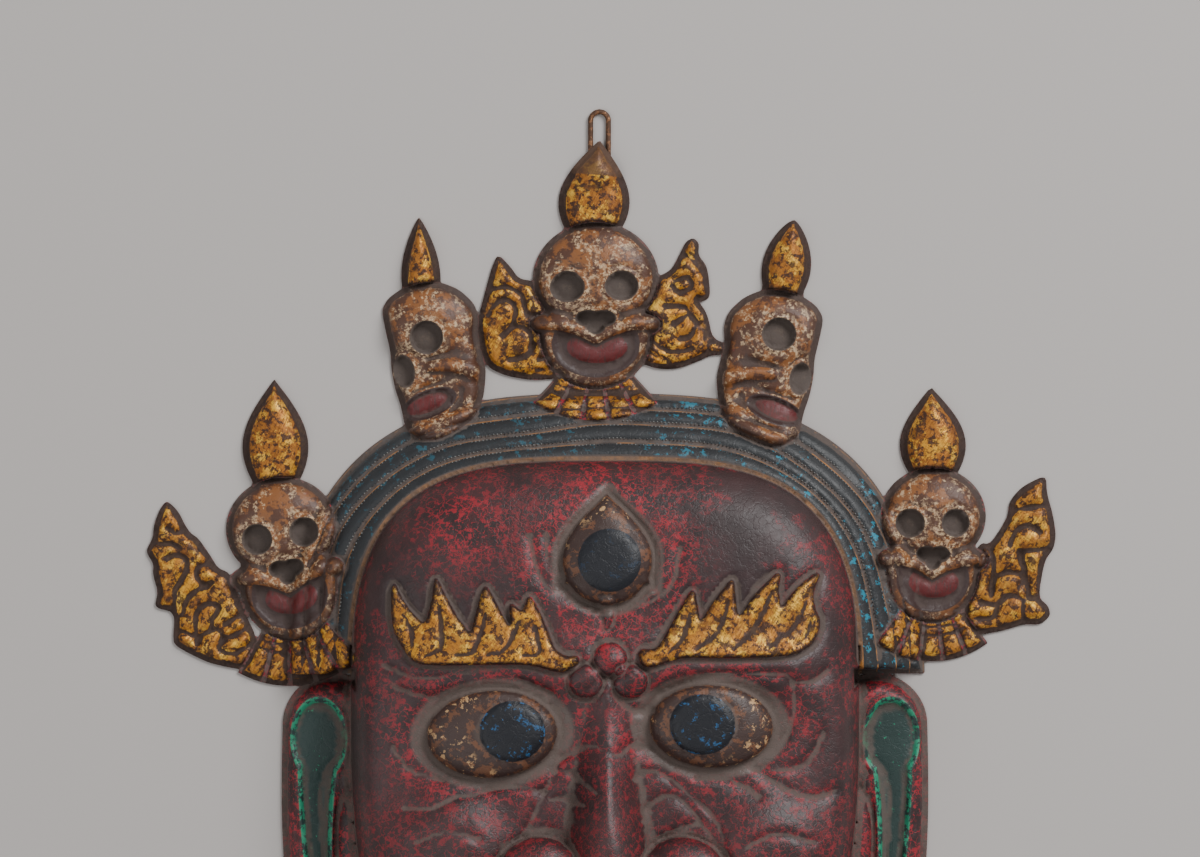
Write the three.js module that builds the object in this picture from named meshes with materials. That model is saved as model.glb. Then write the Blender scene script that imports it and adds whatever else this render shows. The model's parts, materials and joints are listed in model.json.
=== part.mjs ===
// A wrathful three-eyed dance mask with a crown of five skulls, raised by hammer and punch out of
// one thin copper sheet, with a bent wire loop soldered behind the tip of its middle jewel.
// The mask lies on its back: the sheet's flat brim is on the table and the hollow opens downwards.
//
// The relief is drawn in millimetres, x to the viewer's right, y up the mask from the line through
// the eyes, z out of the face. Carving that repeats a figure, such as a skull, is drawn in shares of
// that figure's own radius or length.
import * as THREE from "three";

// Driving sizes, in millimetres
const SHEET = 1.2; // thickness of the copper
const BRIM = 2.4; // flat border along the sheet's edge
const FACE_HALF_WIDTH = 114;
const FOREHEAD = 117; // eye line up to the hair
const CHIN = 178; // eye line down to the chin's edge
const HAIR_WIDTH = 30; // forehead's edge to the hair's outer edge
const LOCK_RISE = 3.6; // from the parting between two locks to a lock's top
const HAIR_RISE = 23; // height of the hair at the forehead's edge
const EAR_RISE = 10;
const EAR_HALF_WIDTH = 23;
const EAR_TOP = 21; // eye line up to the top of the ear
const EAR_LOBE = 142; // eye line down to the end of the lobe
const EAR_INSET = 8; // how far the ear's own middle line stands outside the face's edge
const WALL_RISE = 26; // steep side of the face
const WALL_RUN = 12; // how far in from its edge the steep side reaches the cheek
const FACE_CROWN = 16; // further rise from the top of the steep side to the middle
const CROWN_RUN = 90; // how far in from the edge that rise goes on
const EYE_RISE = 7;
const LID_SINK = 3; // depth of the trough round each eye
const NOSE_RISE = 24;
const CHEEK_RISE = 8;
const BROW_RISE = 4;
const FLAME_RISE = 3.6;
const MOUTH_SINK = 7;
const FANG_RISE = 6;
const CHIN_RISE = 9;
const SKULL_RISE = 12;
const JAW_RISE = 8;
const SOCKET_SINK = 6;
const JEWEL_RISE = 9;
const SCROLL_RISE = 5;
const COLLAR_RISE = 5;
const GROOVE = 1.6; // depth of a chased line
const GROOVE_HALF = 1.7; // half its width
const WIRE = 2.4; // the loop's wire
const LOOP_GAP = 5.6; // clear width inside the loop
const LOOP_LENGTH = 14; // how far the loop stands out past the jewel's tip
const LOOP_LEG = 9; // how far its legs run in behind the jewel
const SOLDER_GAP = 0.3;

// Fineness of the faceted sheet
const FACETS_PER_SIDE = 4300;
const CELLS = 300; // squares along one side of the drawing
const RIM_STEP = 9; // longest step along the sheet's edge
const RIM_ERROR = 0.3; // how far the edge may stray from the outline
const LARGEST_STEP = 16; // longest step on plain ground
const SMALLEST_STEP = 3.2; // shortest step where the relief bends sharply

// Shapes of cross-sections
const clamp01 = (t) => Math.min(1, Math.max(0, t));
const ease = (t) => clamp01(t) ** 2 * (3 - 2 * clamp01(t));
const shoulder = (t) => Math.sqrt(1 - (1 - clamp01(t)) ** 2);
const chased = (distance) => GROOVE * Math.exp(-((distance / GROOVE_HALF) ** 2));
const radians = THREE.MathUtils.degToRad;

// Outlines are functions that give how deep inside them a point lies, in the units they are drawn in,
// and less than nothing outside.

function oval(cx, cy, rx, ry, tilt = 0) {
  const cos = Math.cos(radians(tilt));
  const sin = Math.sin(radians(tilt));
  return (x, y) => {
    const u = ((x - cx) * cos + (y - cy) * sin) / rx;
    const v = ((y - cy) * cos - (x - cx) * sin) / ry;
    return (1 - Math.hypot(u, v)) * Math.min(rx, ry);
  };
}

// A rounded square that is taller below its middle than above it, measured along rays from 0, 0.
function shield(halfWidth, above, below, squareAbove, squareBelow) {
  return (x, y) => {
    const n = y > 0 ? squareAbove : squareBelow;
    const b = y > 0 ? above : below;
    const share = ((Math.abs(x) / halfWidth) ** n + (Math.abs(y) / b) ** n) ** (1 / n);
    if (share < 1e-6) return halfWidth;
    return Math.min(halfWidth, (Math.hypot(x, y) * (1 - share)) / share);
  };
}

// A horn: a curve through three points, as thick as startRadius at its start and endRadius at its end.
function horn(start, bend, end, startRadius, endRadius, steps = 7) {
  const curve = new THREE.QuadraticBezierCurve(
    new THREE.Vector2(...start),
    new THREE.Vector2(...bend),
    new THREE.Vector2(...end),
  );
  const points = curve.getPoints(steps);
  const reach = 3 * Math.max(startRadius, endRadius);
  const box = new THREE.Box2().setFromPoints(points).expandByScalar(reach);
  return (x, y) => {
    if (x < box.min.x || x > box.max.x || y < box.min.y || y > box.max.y) return -reach;
    let depth = -Infinity;
    for (let i = 0; i < steps; i++) {
      const a = points[i];
      const dx = points[i + 1].x - a.x;
      const dy = points[i + 1].y - a.y;
      const t = clamp01(((x - a.x) * dx + (y - a.y) * dy) / (dx * dx + dy * dy));
      const radius = startRadius + ((endRadius - startRadius) * (i + t)) / steps;
      depth = Math.max(depth, radius - Math.hypot(x - a.x - t * dx, y - a.y - t * dy));
    }
    return depth;
  };
}

// Distance to a smooth line through the given points, for chasing a groove along it.
function line(...points) {
  const curve = new THREE.SplineCurve(points.map((p) => new THREE.Vector2(...p)));
  const steps = 6 * (points.length - 1);
  const at = curve.getPoints(steps);
  return (x, y) => {
    let nearest = Infinity;
    for (let i = 0; i < steps; i++) {
      const dx = at[i + 1].x - at[i].x;
      const dy = at[i + 1].y - at[i].y;
      const t = clamp01(((x - at[i].x) * dx + (y - at[i].y) * dy) / (dx * dx + dy * dy));
      nearest = Math.min(nearest, Math.hypot(x - at[i].x - t * dx, y - at[i].y - t * dy));
    }
    return nearest;
  };
}

const union =
  (...shapes) =>
  (x, y) =>
    Math.max(...shapes.map((shape) => shape(x, y)));

// A leaf standing on 0, 0 and pointing along +y, widest at about a third of its length.
function leaf(length, halfWidth, base = 0.72, tipPower = 1) {
  const start = Math.asin(base) / Math.PI;
  return (x, y) => {
    if (y >= length) return -Math.hypot(x, y - length);
    const phase = start + (1 - start) * Math.max(y / length, 0);
    const across = (halfWidth * Math.sin(Math.PI * phase) ** tipPower - Math.abs(x)) * 0.85;
    return Math.min(across, y + halfWidth / 2);
  };
}

// A free outline through the given corners, each cut back twice to round it a little.
const CORNER_CUT = 0.2;
function outlined(...corners) {
  let ring = corners;
  for (let pass = 0; pass < 2; pass++) {
    ring = ring.flatMap(([x, y], i) => {
      const [dx, dy] = [ring[(i + 1) % ring.length][0] - x, ring[(i + 1) % ring.length][1] - y];
      return [
        [x + dx * CORNER_CUT, y + dy * CORNER_CUT],
        [x + dx * (1 - CORNER_CUT), y + dy * (1 - CORNER_CUT)],
      ];
    });
  }
  const reach = 0.3;
  const box = new THREE.Box2().setFromPoints(ring.map((p) => new THREE.Vector2(...p))).expandByScalar(reach);
  return (x, y) => {
    if (x < box.min.x || x > box.max.x || y < box.min.y || y > box.max.y) return -reach;
    let nearest = Infinity;
    let odd = false;
    ring.forEach(([ax, ay], i) => {
      const [bx, by] = ring[(i + 1) % ring.length];
      const [dx, dy] = [bx - ax, by - ay];
      const t = clamp01(((x - ax) * dx + (y - ay) * dy) / (dx * dx + dy * dy));
      nearest = Math.min(nearest, Math.hypot(x - ax - t * dx, y - ay - t * dy));
      if (ay > y !== by > y && x < ax + (dx * (y - ay)) / dy) odd = !odd;
    });
    return odd ? nearest : -nearest;
  };
}

// A local frame: gives a point's place in shares of size, turned by tilt degrees.
function place({ x, y, size = 1, tilt = 0, mirror = 1 }) {
  const cos = Math.cos(radians(tilt));
  const sin = Math.sin(radians(tilt));
  return {
    inside: (px, py) => [
      (mirror * ((px - x) * cos + (py - y) * sin)) / size,
      ((py - y) * cos - (px - x) * sin) / size,
    ],
    outside: (u, v) => [
      x + size * (mirror * u * cos - v * sin),
      y + size * (mirror * u * sin + v * cos),
    ],
  };
}

// The face, the hair and the ears

const FOREHEAD_SQUARENESS = 3.3; // 2 is an oval, more is squarer
const JAW_SQUARENESS = 2.5;
const HAIR_SQUARENESS = 2.9;
const HAIR_LOCKS = 4;

const faceEdge = shield(FACE_HALF_WIDTH, FOREHEAD, CHIN, FOREHEAD_SQUARENESS, JAW_SQUARENESS);
const hairHalfWidth = FACE_HALF_WIDTH + HAIR_WIDTH;
const hairTop = FOREHEAD + HAIR_WIDTH;
const hairShape = shield(hairHalfWidth, hairTop, hairTop, HAIR_SQUARENESS, HAIR_SQUARENESS);
const hairEdge = (x, y) => Math.min(hairShape(x, y), y - EAR_TOP);

const earX = FACE_HALF_WIDTH + EAR_INSET;
const earEdge = (x, y) => {
  const side = Math.abs(x);
  const top = EAR_TOP - EAR_HALF_WIDTH;
  const bottom = EAR_HALF_WIDTH - EAR_LOBE;
  const t = clamp01((top - y) / (top - bottom));
  const middle = earX + 3 * Math.sin(Math.PI * t) - 4 * t;
  const dy = y > top ? y - top : y < bottom ? bottom - y : 0;
  return EAR_HALF_WIDTH * (1 - 0.12 * t) - Math.hypot(side - middle, dy);
};

const eyes = [
  { x: -50, y: -4, rx: 29, ry: 19, tilt: 4, iris: [9, 1.5] },
  { x: 47, y: -0.5, rx: 27.5, ry: 18, tilt: -2, iris: [-4, 1] },
].map((eye) => ({
  ...eye,
  ball: oval(eye.x, eye.y, eye.rx, eye.ry, eye.tilt),
  pupil: oval(eye.x + eye.iris[0], eye.y + eye.iris[1], 14, 13),
}));
const thirdEye = union(
  oval(1, 73, 20, 20),
  (x, y) => leaf(30, 19, 0.98)(x - 1, y - 72),
);
const thirdPupil = oval(2, 73, 14, 14);

// Each eyebrow is a row of flame tongues on a low band, ending in a curl beside the nose.
const BROW_TONGUES = 4;
function eyebrow(side) {
  const band = horn([side * 88, 35], [side * 60, 31], [side * 28, 30], 9, 4.5);
  const curl = horn([side * 30, 31], [side * 21, 19], [side * 14, 30], 5.5, 3);
  const tongues = Array.from({ length: BROW_TONGUES }, (_, i) => {
    const x = 88 - 17.5 * i;
    const height = 34 - 2.6 * i;
    return horn([side * (x - 4), 34], [side * (x - 6), 48], [side * (x + 5), 35 + height], 8.5, 0.6);
  });
  return union(band, curl, ...tongues);
}
const eyebrows = union(eyebrow(-1), eyebrow(1));

const noseRidge = horn([1, 12], [0, -25], [2, -66], 9, 21);
const nostrilWings = [
  { x: -29, y: -65, r: 19 },
  { x: 34, y: -65, r: 19 },
];
const cheeks = union(oval(-72, -56, 38, 34), oval(74, -56, 38, 34));
const noseCurls = [
  [-8.6, 19.4, 8],
  [11.3, 19.4, 8],
  [2.3, 29.3, 8],
];

const mouth = { x: 2, y: -118, rx: 54, ry: 23 };
const lips = oval(mouth.x, mouth.y, mouth.rx, mouth.ry);
const gape = oval(mouth.x, mouth.y - 1, mouth.rx - 10, mouth.ry - 9);
const fangs = [-1, 1].flatMap((side) => [
  horn([mouth.x + side * 30, -109], [mouth.x + side * 31, -116], [mouth.x + side * 28, -124], 4.6, 1),
  horn([mouth.x + side * 36, -127], [mouth.x + side * 37, -120], [mouth.x + side * 35, -112], 4, 1),
]);
const TEETH = 6;
const TOOTH_PITCH = 8;
const upperTeeth = (x, y) =>
  Math.min(
    oval(mouth.x, -109, (TEETH * TOOTH_PITCH) / 2, 6)(x, y),
    TOOTH_PITCH / 2 - Math.abs((((x - mouth.x) % TOOTH_PITCH) + TOOTH_PITCH) % TOOTH_PITCH - TOOTH_PITCH / 2),
  );
const tongue = oval(mouth.x, -124, 22, 8);
const chinBall = oval(2, -156, 36, 17);
const BEARD_FLAMES = 7;
const beard = union(
  ...Array.from({ length: BEARD_FLAMES }, (_, i) => {
    const turn = (i - (BEARD_FLAMES - 1) / 2) / ((BEARD_FLAMES - 1) / 2);
    const from = [2 + 56 * turn, -148 + 16 * turn ** 2];
    const to = [2 + 66 * turn + 5 * Math.sign(turn), -168 + 26 * turn ** 2];
    return horn(from, [from[0] + 2 * turn, (from[1] + to[1]) / 2], to, 7, 0.8);
  }),
);
const moustache = union(
  ...[-1, 1].map((side) =>
    union(
      horn([2 + side * 12, -90], [2 + side * 40, -84], [2 + side * 62, -104], 5.5, 4),
      horn([2 + side * 62, -104], [2 + side * 72, -112], [2 + side * 66, -122], 4.5, 1),
      horn([2 + side * 44, -90], [2 + side * 62, -84], [2 + side * 78, -92], 5, 0.8),
    ),
  ),
);

const wrinkles = [
  line([-112, -8], [-96, -26], [-74, -33], [-60, -30]),
  line([-90, 24], [-78, 18], [-66, 16]),
  line([58, -27], [82, -28], [99, -18], [104, -4]),
  line([74, 22], [84, 8], [80, -14], [72, -22]),
  line([-26, 74], [-22, 52], [-8, 42], [1, 41]),
  line([28, 70], [24, 52], [12, 45], [4, 47]),
  line([-20, -18], [-30, -40], [-40, -56], [-58, -78], [-64, -100]),
  line([22, -20], [34, -36], [52, -54], [66, -78], [70, -100]),
];

// Bulge and wall of the face, with its features; depth is how far inside its edge the point lies.
function faceHeight(x, y, depth) {
  const high = ease((y - EAR_TOP + 20) / 60);
  const foot = EAR_RISE + (HAIR_RISE - EAR_RISE) * high;
  const wall = WALL_RISE + (EAR_RISE - HAIR_RISE) * high;
  const run = WALL_RUN * (1 + 1.2 * high);
  let z = foot + wall * shoulder(depth / run) + FACE_CROWN * shoulder(depth / CROWN_RUN);
  const nose = Math.sin((Math.PI / 2) * clamp01(noseRidge(x, y) / 18));
  z += NOSE_RISE * nose * (0.25 + 0.75 * ease((12 - y) / 70));
  for (const wing of nostrilWings) {
    const wingDepth = oval(wing.x, wing.y, wing.r, wing.r * 0.85)(x, y);
    z += Math.max(0, 13 * shoulder(wingDepth / 15) - 0.35 * NOSE_RISE * nose);
    z -= chased(wingDepth);
  }
  z += CHEEK_RISE * ease(cheeks(x, y) / 26);
  z += BROW_RISE * ease(1 - Math.abs(y - 26) / 20) * ease((100 - Math.abs(x)) / 20);
  for (const [cx, cy, r] of noseCurls) {
    const curl = oval(cx, cy, r, r)(x, y);
    z += 4 * shoulder(curl / r) - chased(curl);
  }
  for (const eye of eyes) {
    const ball = eye.ball(x, y);
    z += EYE_RISE * shoulder(ball / 12) - LID_SINK * ease(1 - Math.abs(ball + 1) / 4);
    z += 1.2 * shoulder(eye.pupil(x, y) / 5);
  }
  const third = thirdEye(x, y);
  z += 0.9 * EYE_RISE * shoulder(third / 12) - LID_SINK * ease(1 - Math.abs(third + 1) / 4);
  z += 1.2 * shoulder(thirdPupil(x, y) / 5);
  for (const flames of [eyebrows, moustache, beard]) {
    const flame = flames(x, y);
    z += FLAME_RISE * shoulder((flame + 0.5) / 3) - 0.7 * chased(flame + 1.5);
  }
  const lip = lips(x, y);
  z += 6 * shoulder(lip / 9) * ease(lip / 3) - chased(lip + 1);
  const open = gape(x, y);
  z -= (MOUTH_SINK + 6) * ease(open / 4);
  if (open > -4) {
    z += 5 * ease(upperTeeth(x, y) / 2) + 6 * shoulder(tongue(x, y) / 7);
    z += FANG_RISE * Math.max(...fangs.map((fang) => shoulder(fang(x, y) / 3)));
  }
  z += CHIN_RISE * shoulder(chinBall(x, y) / 15);
  for (const wrinkle of wrinkles) z -= 0.9 * chased(wrinkle(x, y));
  return z;
}

// Locks of hair run round the forehead and wave a little across it.
function hairHeight(x, y, depth) {
  const outside = Math.max(0, -faceEdge(x, y));
  const share = depth / (depth + outside + 1e-6);
  const angle = Math.atan2(x, y);
  const wave = 0.28 * Math.sin(5.2 * angle + 0.6) * (1 - Math.abs(2 * share - 1));
  const lock = HAIR_LOCKS * (share + wave / HAIR_LOCKS);
  const roll = Math.abs(Math.sin(Math.PI * lock));
  return SHEET + (HAIR_RISE - SHEET) * share ** 0.8 + LOCK_RISE * (roll - 0.5) * ease(depth / 4);
}

const earShell = union(
  oval(earX + 6.5, -8, 13, 19),
  horn([earX + 7, -20], [earX + 9, -50], [earX + 4, -96], 9, 4.5),
);
function earHeight(x, y, depth) {
  const side = Math.abs(x);
  const shell = earShell(side, y);
  const knob = oval(earX - 13, -58, 11, 28, -6)(side, y);
  const ring = oval(earX - 3, 18 - EAR_LOBE, 14, 14)(side, y);
  let z = SHEET + (EAR_RISE - SHEET) * shoulder((depth - BRIM) / 9);
  z -= 4 * ease(shell / 4) * ease((y + 96) / 18);
  z += 4 * shoulder(knob / 9) - chased(knob);
  z += 4 * shoulder(ring / 6) - 4 * ease((ring - 7) / 3) - chased(ring);
  return z;
}

// The crown

// Distance from 0, 0 to the hair's outer edge, in a direction given in degrees clockwise from +y.
function hairRadius(direction) {
  const x = Math.sin(radians(direction)) * 1e-3;
  const y = Math.cos(radians(direction)) * 1e-3;
  const n = HAIR_SQUARENESS;
  return 1e-3 / ((Math.abs(x) / hairHalfWidth) ** n + (Math.abs(y) / hairTop) ** n) ** (1 / n);
}

// Each skull stands at a direction and a distance out from the hair's edge. radius is half the width
// of its brain case, stretch lengthens its face, facing turns a profile to the left or the right, and
// socket is where a profile's eye sits, in shares of the radius.
const skulls = [
  { name: "far_left", direction: -59.3, out: 12.3, radius: 25, tilt: 8, stretch: 1, collar: 0.85 },
  { name: "left", direction: -23.6, out: 40.9, radius: 22.4, stretch: 1, facing: -1, socket: [0.07, -0.35] },
  { name: "middle", direction: -1.2, out: 51.0, radius: 28.4, tilt: 0, stretch: 0.85, collar: 0.62 },
  { name: "right", direction: 23.3, out: 36.4, radius: 23, stretch: 0.95, facing: 1, socket: [0.1, -0.12] },
  { name: "far_right", direction: 58.1, out: 16.3, radius: 23.7, tilt: -1, stretch: 1, collar: 0.76 },
].map((skull) => {
  const reach = hairRadius(skull.direction) + skull.out;
  const x = reach * Math.sin(radians(skull.direction));
  const y = reach * Math.cos(radians(skull.direction));
  return { ...skull, x, y, frame: place({ x, y, size: skull.radius, tilt: skull.tilt, mirror: skull.facing }) };
});
const skullNamed = (name) => skulls.find((skull) => skull.name === name);

// Frontal skull, in shares of its radius; v is measured down the stretched face. The smile is the
// raised band of the cheeks, and the mouth lies between it and the jaw.
const frontal = {
  brain: oval(0, 0, 1, 0.92),
  jaw: union(oval(0, -1, 0.9, 1.04), oval(-0.66, -0.82, 0.4, 0.24), oval(0.66, -0.82, 0.4, 0.24)),
  pits: union(
    oval(-0.45, -0.14, 0.28, 0.28),
    oval(0.41, -0.12, 0.27, 0.27),
    oval(-0.12, -0.72, 0.21, 0.16),
    oval(0.12, -0.72, 0.21, 0.16),
    oval(0, -0.84, 0.16, 0.18),
  ),
  smile: union(
    ...[-1, 1].map((side) =>
      horn([side * 0.04, -1.08], [side * 0.4, -0.77], [side * 0.97, -0.78], 0.09, 0.17),
    ),
  ),
  gape: oval(0, -1.2, 0.7, 0.62),
  tongue: oval(0.02, -1.25, 0.48, 0.3),
};
const underSmile = (u, v) => -0.89 - 0.32 * Math.max(0, 1 - Math.abs(u)) ** 2.2 - v;

// A collar of petals hangs below the chin, spread about a point one radius below the brow.
const PETALS = 5;
const PETAL_SPREAD = 0.66; // radians to each side
const NECK_RADIUS = 1.28;

function frontalSkull(skull) {
  const { brain, jaw, pits, smile, gape, tongue } = frontal;
  const head = union(brain, jaw);
  return (u, stretchedV) => {
    const v = stretchedV > 0 ? stretchedV : stretchedV / skull.stretch;
    const edge = head(u, v);
    const fall = Math.hypot(u, v + 1);
    const turn = Math.atan2(u, -(v + 1));
    const collar = Math.min(1 + skull.collar - fall, (PETAL_SPREAD - Math.abs(turn)) * fall, -1.7 - v);
    if (edge < 0.02) {
      const petal = Math.abs(Math.cos((Math.PI * PETALS * turn) / (2 * PETAL_SPREAD)));
      const share = fall > NECK_RADIUS ? 0.55 + 0.45 * Math.sqrt(petal) : 0.8;
      return { edge: Math.max(edge, collar) * skull.radius, z: COLLAR_RISE * shoulder(collar / 0.2) * share };
    }
    const mouth = Math.min(gape(u, v), underSmile(u, v));
    let z = Math.max(SKULL_RISE * shoulder(brain(u, v) / 0.85), JAW_RISE * shoulder(edge / 0.4));
    z += 2.5 * shoulder(smile(u, v) / 0.15) - SOCKET_SINK * ease(pits(u, v) / 0.08);
    z += 2.5 * shoulder(Math.min(tongue(u, v), mouth - 0.06) / 0.15) - 0.6 * SOCKET_SINK * ease(mouth / 0.1);
    z -= chased(skull.radius * edge) + chased(skull.radius * (mouth + 0.06));
    return { edge: edge * skull.radius, z };
  };
}

// Profile skull, looking along +u.
const profile = {
  brain: oval(0.03, -0.12, 0.93, 0.86),
  head: outlined(
    ...[[0.98, 0.21], [0.84, 0.45], [0.55, 0.65], [0.18, 0.76], [-0.2, 0.77], [-0.58, 0.62]],
    ...[[-0.88, 0.34], [-0.98, 0.05], [-0.95, -0.3], [-1.05, -0.7], [-1.12, -1], [-1.08, -1.5]],
    ...[[-0.95, -1.9], [-0.6, -2.2], [-0.2, -2.4], [0.18, -2.42], [0.5, -2.2], [0.58, -1.75]],
    ...[[0.7, -1.4], [0.78, -1], [0.8, -0.62], [0.9, -0.2]],
  ),
  nose: oval(0.52, -1.03, 0.22, 0.34, -8),
  cheek: horn([-0.05, -0.92], [-0.55, -0.86], [-0.98, -1.04], 0.13, 0.15),
  gape: oval(0.02, -1.68, 0.6, 0.28, -22),
};

function profileSkull(skull) {
  const { brain, head, nose, cheek, gape } = profile;
  const pits = union(oval(...skull.socket, 0.34, 0.34), nose);
  return (u, stretchedV) => {
    const v = stretchedV > 0 ? stretchedV : stretchedV / skull.stretch;
    const edge = head(u, v);
    let z = Math.max(SKULL_RISE * shoulder(brain(u, v) / 0.8), JAW_RISE * shoulder(edge / 0.4));
    z += 2.5 * shoulder(cheek(u, v) / 0.14) - SOCKET_SINK * ease(pits(u, v) / 0.08);
    z -= 0.6 * SOCKET_SINK * ease(gape(u, v) / 0.1);
    z -= chased(skull.radius * edge) + chased(skull.radius * (gape(u, v) + 0.08));
    return { edge: edge * skull.radius, z };
  };
}

const skullShapes = skulls.map((skull) => {
  const shape = skull.facing ? profileSkull(skull) : frontalSkull(skull);
  return (x, y) => {
    const [u, v] = skull.frame.inside(x, y);
    if (Math.abs(u) > 1.6 || v > 1.3 || v < -3.2) return { edge: -10, z: 0 };
    return shape(u, v);
  };
});

// A jewel stands on the crown of each skull. foot is in shares of the skull's radius.
const jewels = [
  { skull: "far_left", foot: [0.02, 0.86], lean: 1, length: 45.5, halfWidth: 14.8 },
  { skull: "left", foot: [0.18, 0.66], lean: 2, length: 31.5, halfWidth: 8.8, base: 0.97, power: 0.85 },
  { skull: "middle", foot: [-0.07, 0.74], lean: -5, length: 42, halfWidth: 16 },
  { skull: "right", foot: [0.19, 0.8], lean: -9, length: 31, halfWidth: 11, base: 0.8, power: 0.7 },
  { skull: "far_right", foot: [0, 0.8], lean: 2, length: 39, halfWidth: 14.8 },
].map((jewel) => {
  const [x, y] = skullNamed(jewel.skull).frame.outside(...jewel.foot);
  const frame = place({ x, y, tilt: jewel.lean });
  const outline = leaf(jewel.length, jewel.halfWidth, jewel.base, jewel.power);
  return { ...jewel, frame, edge: (px, py) => outline(...frame.inside(px, py)) };
});

// Leafy scrolls stand beside the skulls. Their outlines and chased lines are drawn in shares of the
// skull's radius, in the skull's own frame. The middle one's right-hand scroll ends in a small star
// that reaches the next skull.
const scrolls = [
  {
    skull: "far_left",
    outline: outlined(
      ...[[-1.99, 0.78], [-1.87, 0.66], [-1.78, 0.51], [-1.73, 0.34], [-1.64, 0.14], [-1.51, 0.03]],
      ...[[-1.32, -0.35], [-1.24, -0.55], [-1.02, -0.68], [-0.9, -1.3], [-0.69, -1.99], [-0.9, -2.47]],
      ...[[-1.35, -2.33], [-1.62, -2.22], [-1.85, -2.08], [-2.15, -1.86], [-2.22, -1.75], [-2.11, -1.23]],
      ...[[-2.47, -1.1], [-2.36, -0.84], [-2.41, -0.5], [-2.37, -0.32], [-2.48, -0.07], [-2.32, 0.14]],
      ...[[-2.26, 0.39], [-2.13, 0.63]],
    ),
    lines: [
      line([-2.13, -0.24], [-1.94, -0.22], [-1.8, -0.52], [-2.06, -0.88], [-2.1, -1.13]),
      line([-1.97, -1.29], [-1.69, -0.91], [-1.47, -0.84]),
      line([-1.77, -1.83], [-1.7, -1.28], [-1.33, -1.22], [-1.46, -1.46]),
      line([-1.4, -1.65], [-1.32, -1.78], [-1.4, -2], [-1.18, -2.13], [-0.88, -2.01]),
    ],
  },
  {
    skull: "middle",
    outline: outlined(
      ...[[-1.55, 0.42], [-1.35, 0.21], [-1.22, 0.02], [-0.95, -0.02], [-0.58, -0.72], [-0.37, -1.19]],
      ...[[-0.58, -1.56], [-1, -1.59], [-1.42, -1.52], [-1.7, -1.39], [-1.8, -1.19], [-1.85, -0.98]],
      ...[[-1.88, -0.67], [-1.8, -0.36], [-1.73, -0.1], [-1.65, 0.19]],
    ),
    lines: [
      line([-1.7, -0.57], [-1.62, -0.41], [-1.42, -0.31], [-1.26, -0.46], [-1.31, -0.7]),
      line([-1.47, -0.88], [-1.26, -0.73], [-1.05, -0.83], [-1, -1.04]),
      line([-0.95, -1.43], [-0.63, -1.38], [-0.37, -1.11]),
    ],
  },
  {
    skull: "middle",
    outline: outlined(
      ...[[0.88, 0.01], [1.19, 0.15], [1.31, 0.37], [1.43, 0.62], [1.55, 0.67], [1.64, 0.58]],
      ...[[1.62, 0.4], [1.77, 0.21], [1.82, -0.26], [1.71, -0.34], [1.62, -0.32], [1.77, -0.54]],
      ...[[1.85, -0.93], [2.16, -1.04], [2.13, -1.19], [1.82, -1.19], [1.69, -1.26], [1.3, -1.41]],
      ...[[0.98, -1.41], [0.72, -1.32], [0.41, -1.04]],
    ),
    lines: [
      line([1.24, -0.02], [1.45, 0.03], [1.51, -0.12], [1.32, -0.19]),
      line([1.11, -0.41], [1.45, -0.46], [1.66, -0.72], [1.72, -0.96]),
      line([0.8, -0.83], [0.98, -1.04], [1.24, -1.15], [1.53, -1.09]),
    ],
  },
  {
    skull: "far_right",
    outline: outlined(
      ...[[0.88, -0.49], [1.08, -0.52], [1.27, -0.25], [1.42, 0.03], [1.44, 0.3], [1.68, 0.59]],
      ...[[2.13, 0.82], [2.15, 0.47], [2.27, 0.08], [2.34, -0.31], [2.3, -0.58], [2.13, -0.81]],
      ...[[2.02, -1.51], [2.22, -1.67], [2.26, -1.86], [2.07, -2.03], [1.76, -2.02], [1.38, -2.15]],
      ...[[0.95, -2.24], [0.6, -2.16], [0.59, -1.5]],
    ),
    lines: [
      line([1.46, -0.52], [1.58, -0.24], [1.81, -0.16], [2.04, -0.27]),
      line([2.26, -0.57], [1.89, -0.62], [1.7, -0.71], [1.82, -1.09], [1.87, -1.52]),
      line([1.13, -1.49], [1.18, -1.18], [1.43, -1.04], [1.69, -1.13], [1.65, -1.37]),
      line([0.9, -1.61], [1.21, -1.65], [1.44, -1.49], [1.72, -1.56], [1.74, -1.83]),
    ],
  },
].map(({ skull, outline, lines }) => {
  const { frame, radius } = skullNamed(skull);
  return (px, py) => {
    const [u, v] = frame.inside(px, py);
    const edge = outline(u, v) * radius;
    let z = 0;
    if (edge > 0) {
      z = SCROLL_RISE * shoulder((edge - BRIM * 0.4) / 5);
      for (const groove of lines) z -= chased(groove(u, v) * radius);
    }
    return { edge, z };
  };
});

// The whole sheet

const jewelTip = (() => {
  const jewel = jewels.find((each) => each.skull === "middle");
  const [x, y] = jewel.frame.outside(0, jewel.length);
  return { x, y };
})();
const liftReach = LOOP_LEG + 7; // the sheet stands clear of the wire this far back from the tip
function wireLift(x, y) {
  const away = Math.hypot(x - jewelTip.x, y - jewelTip.y);
  return (WIRE + SOLDER_GAP) * ease((liftReach + 6 - away) / 6);
}

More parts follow.
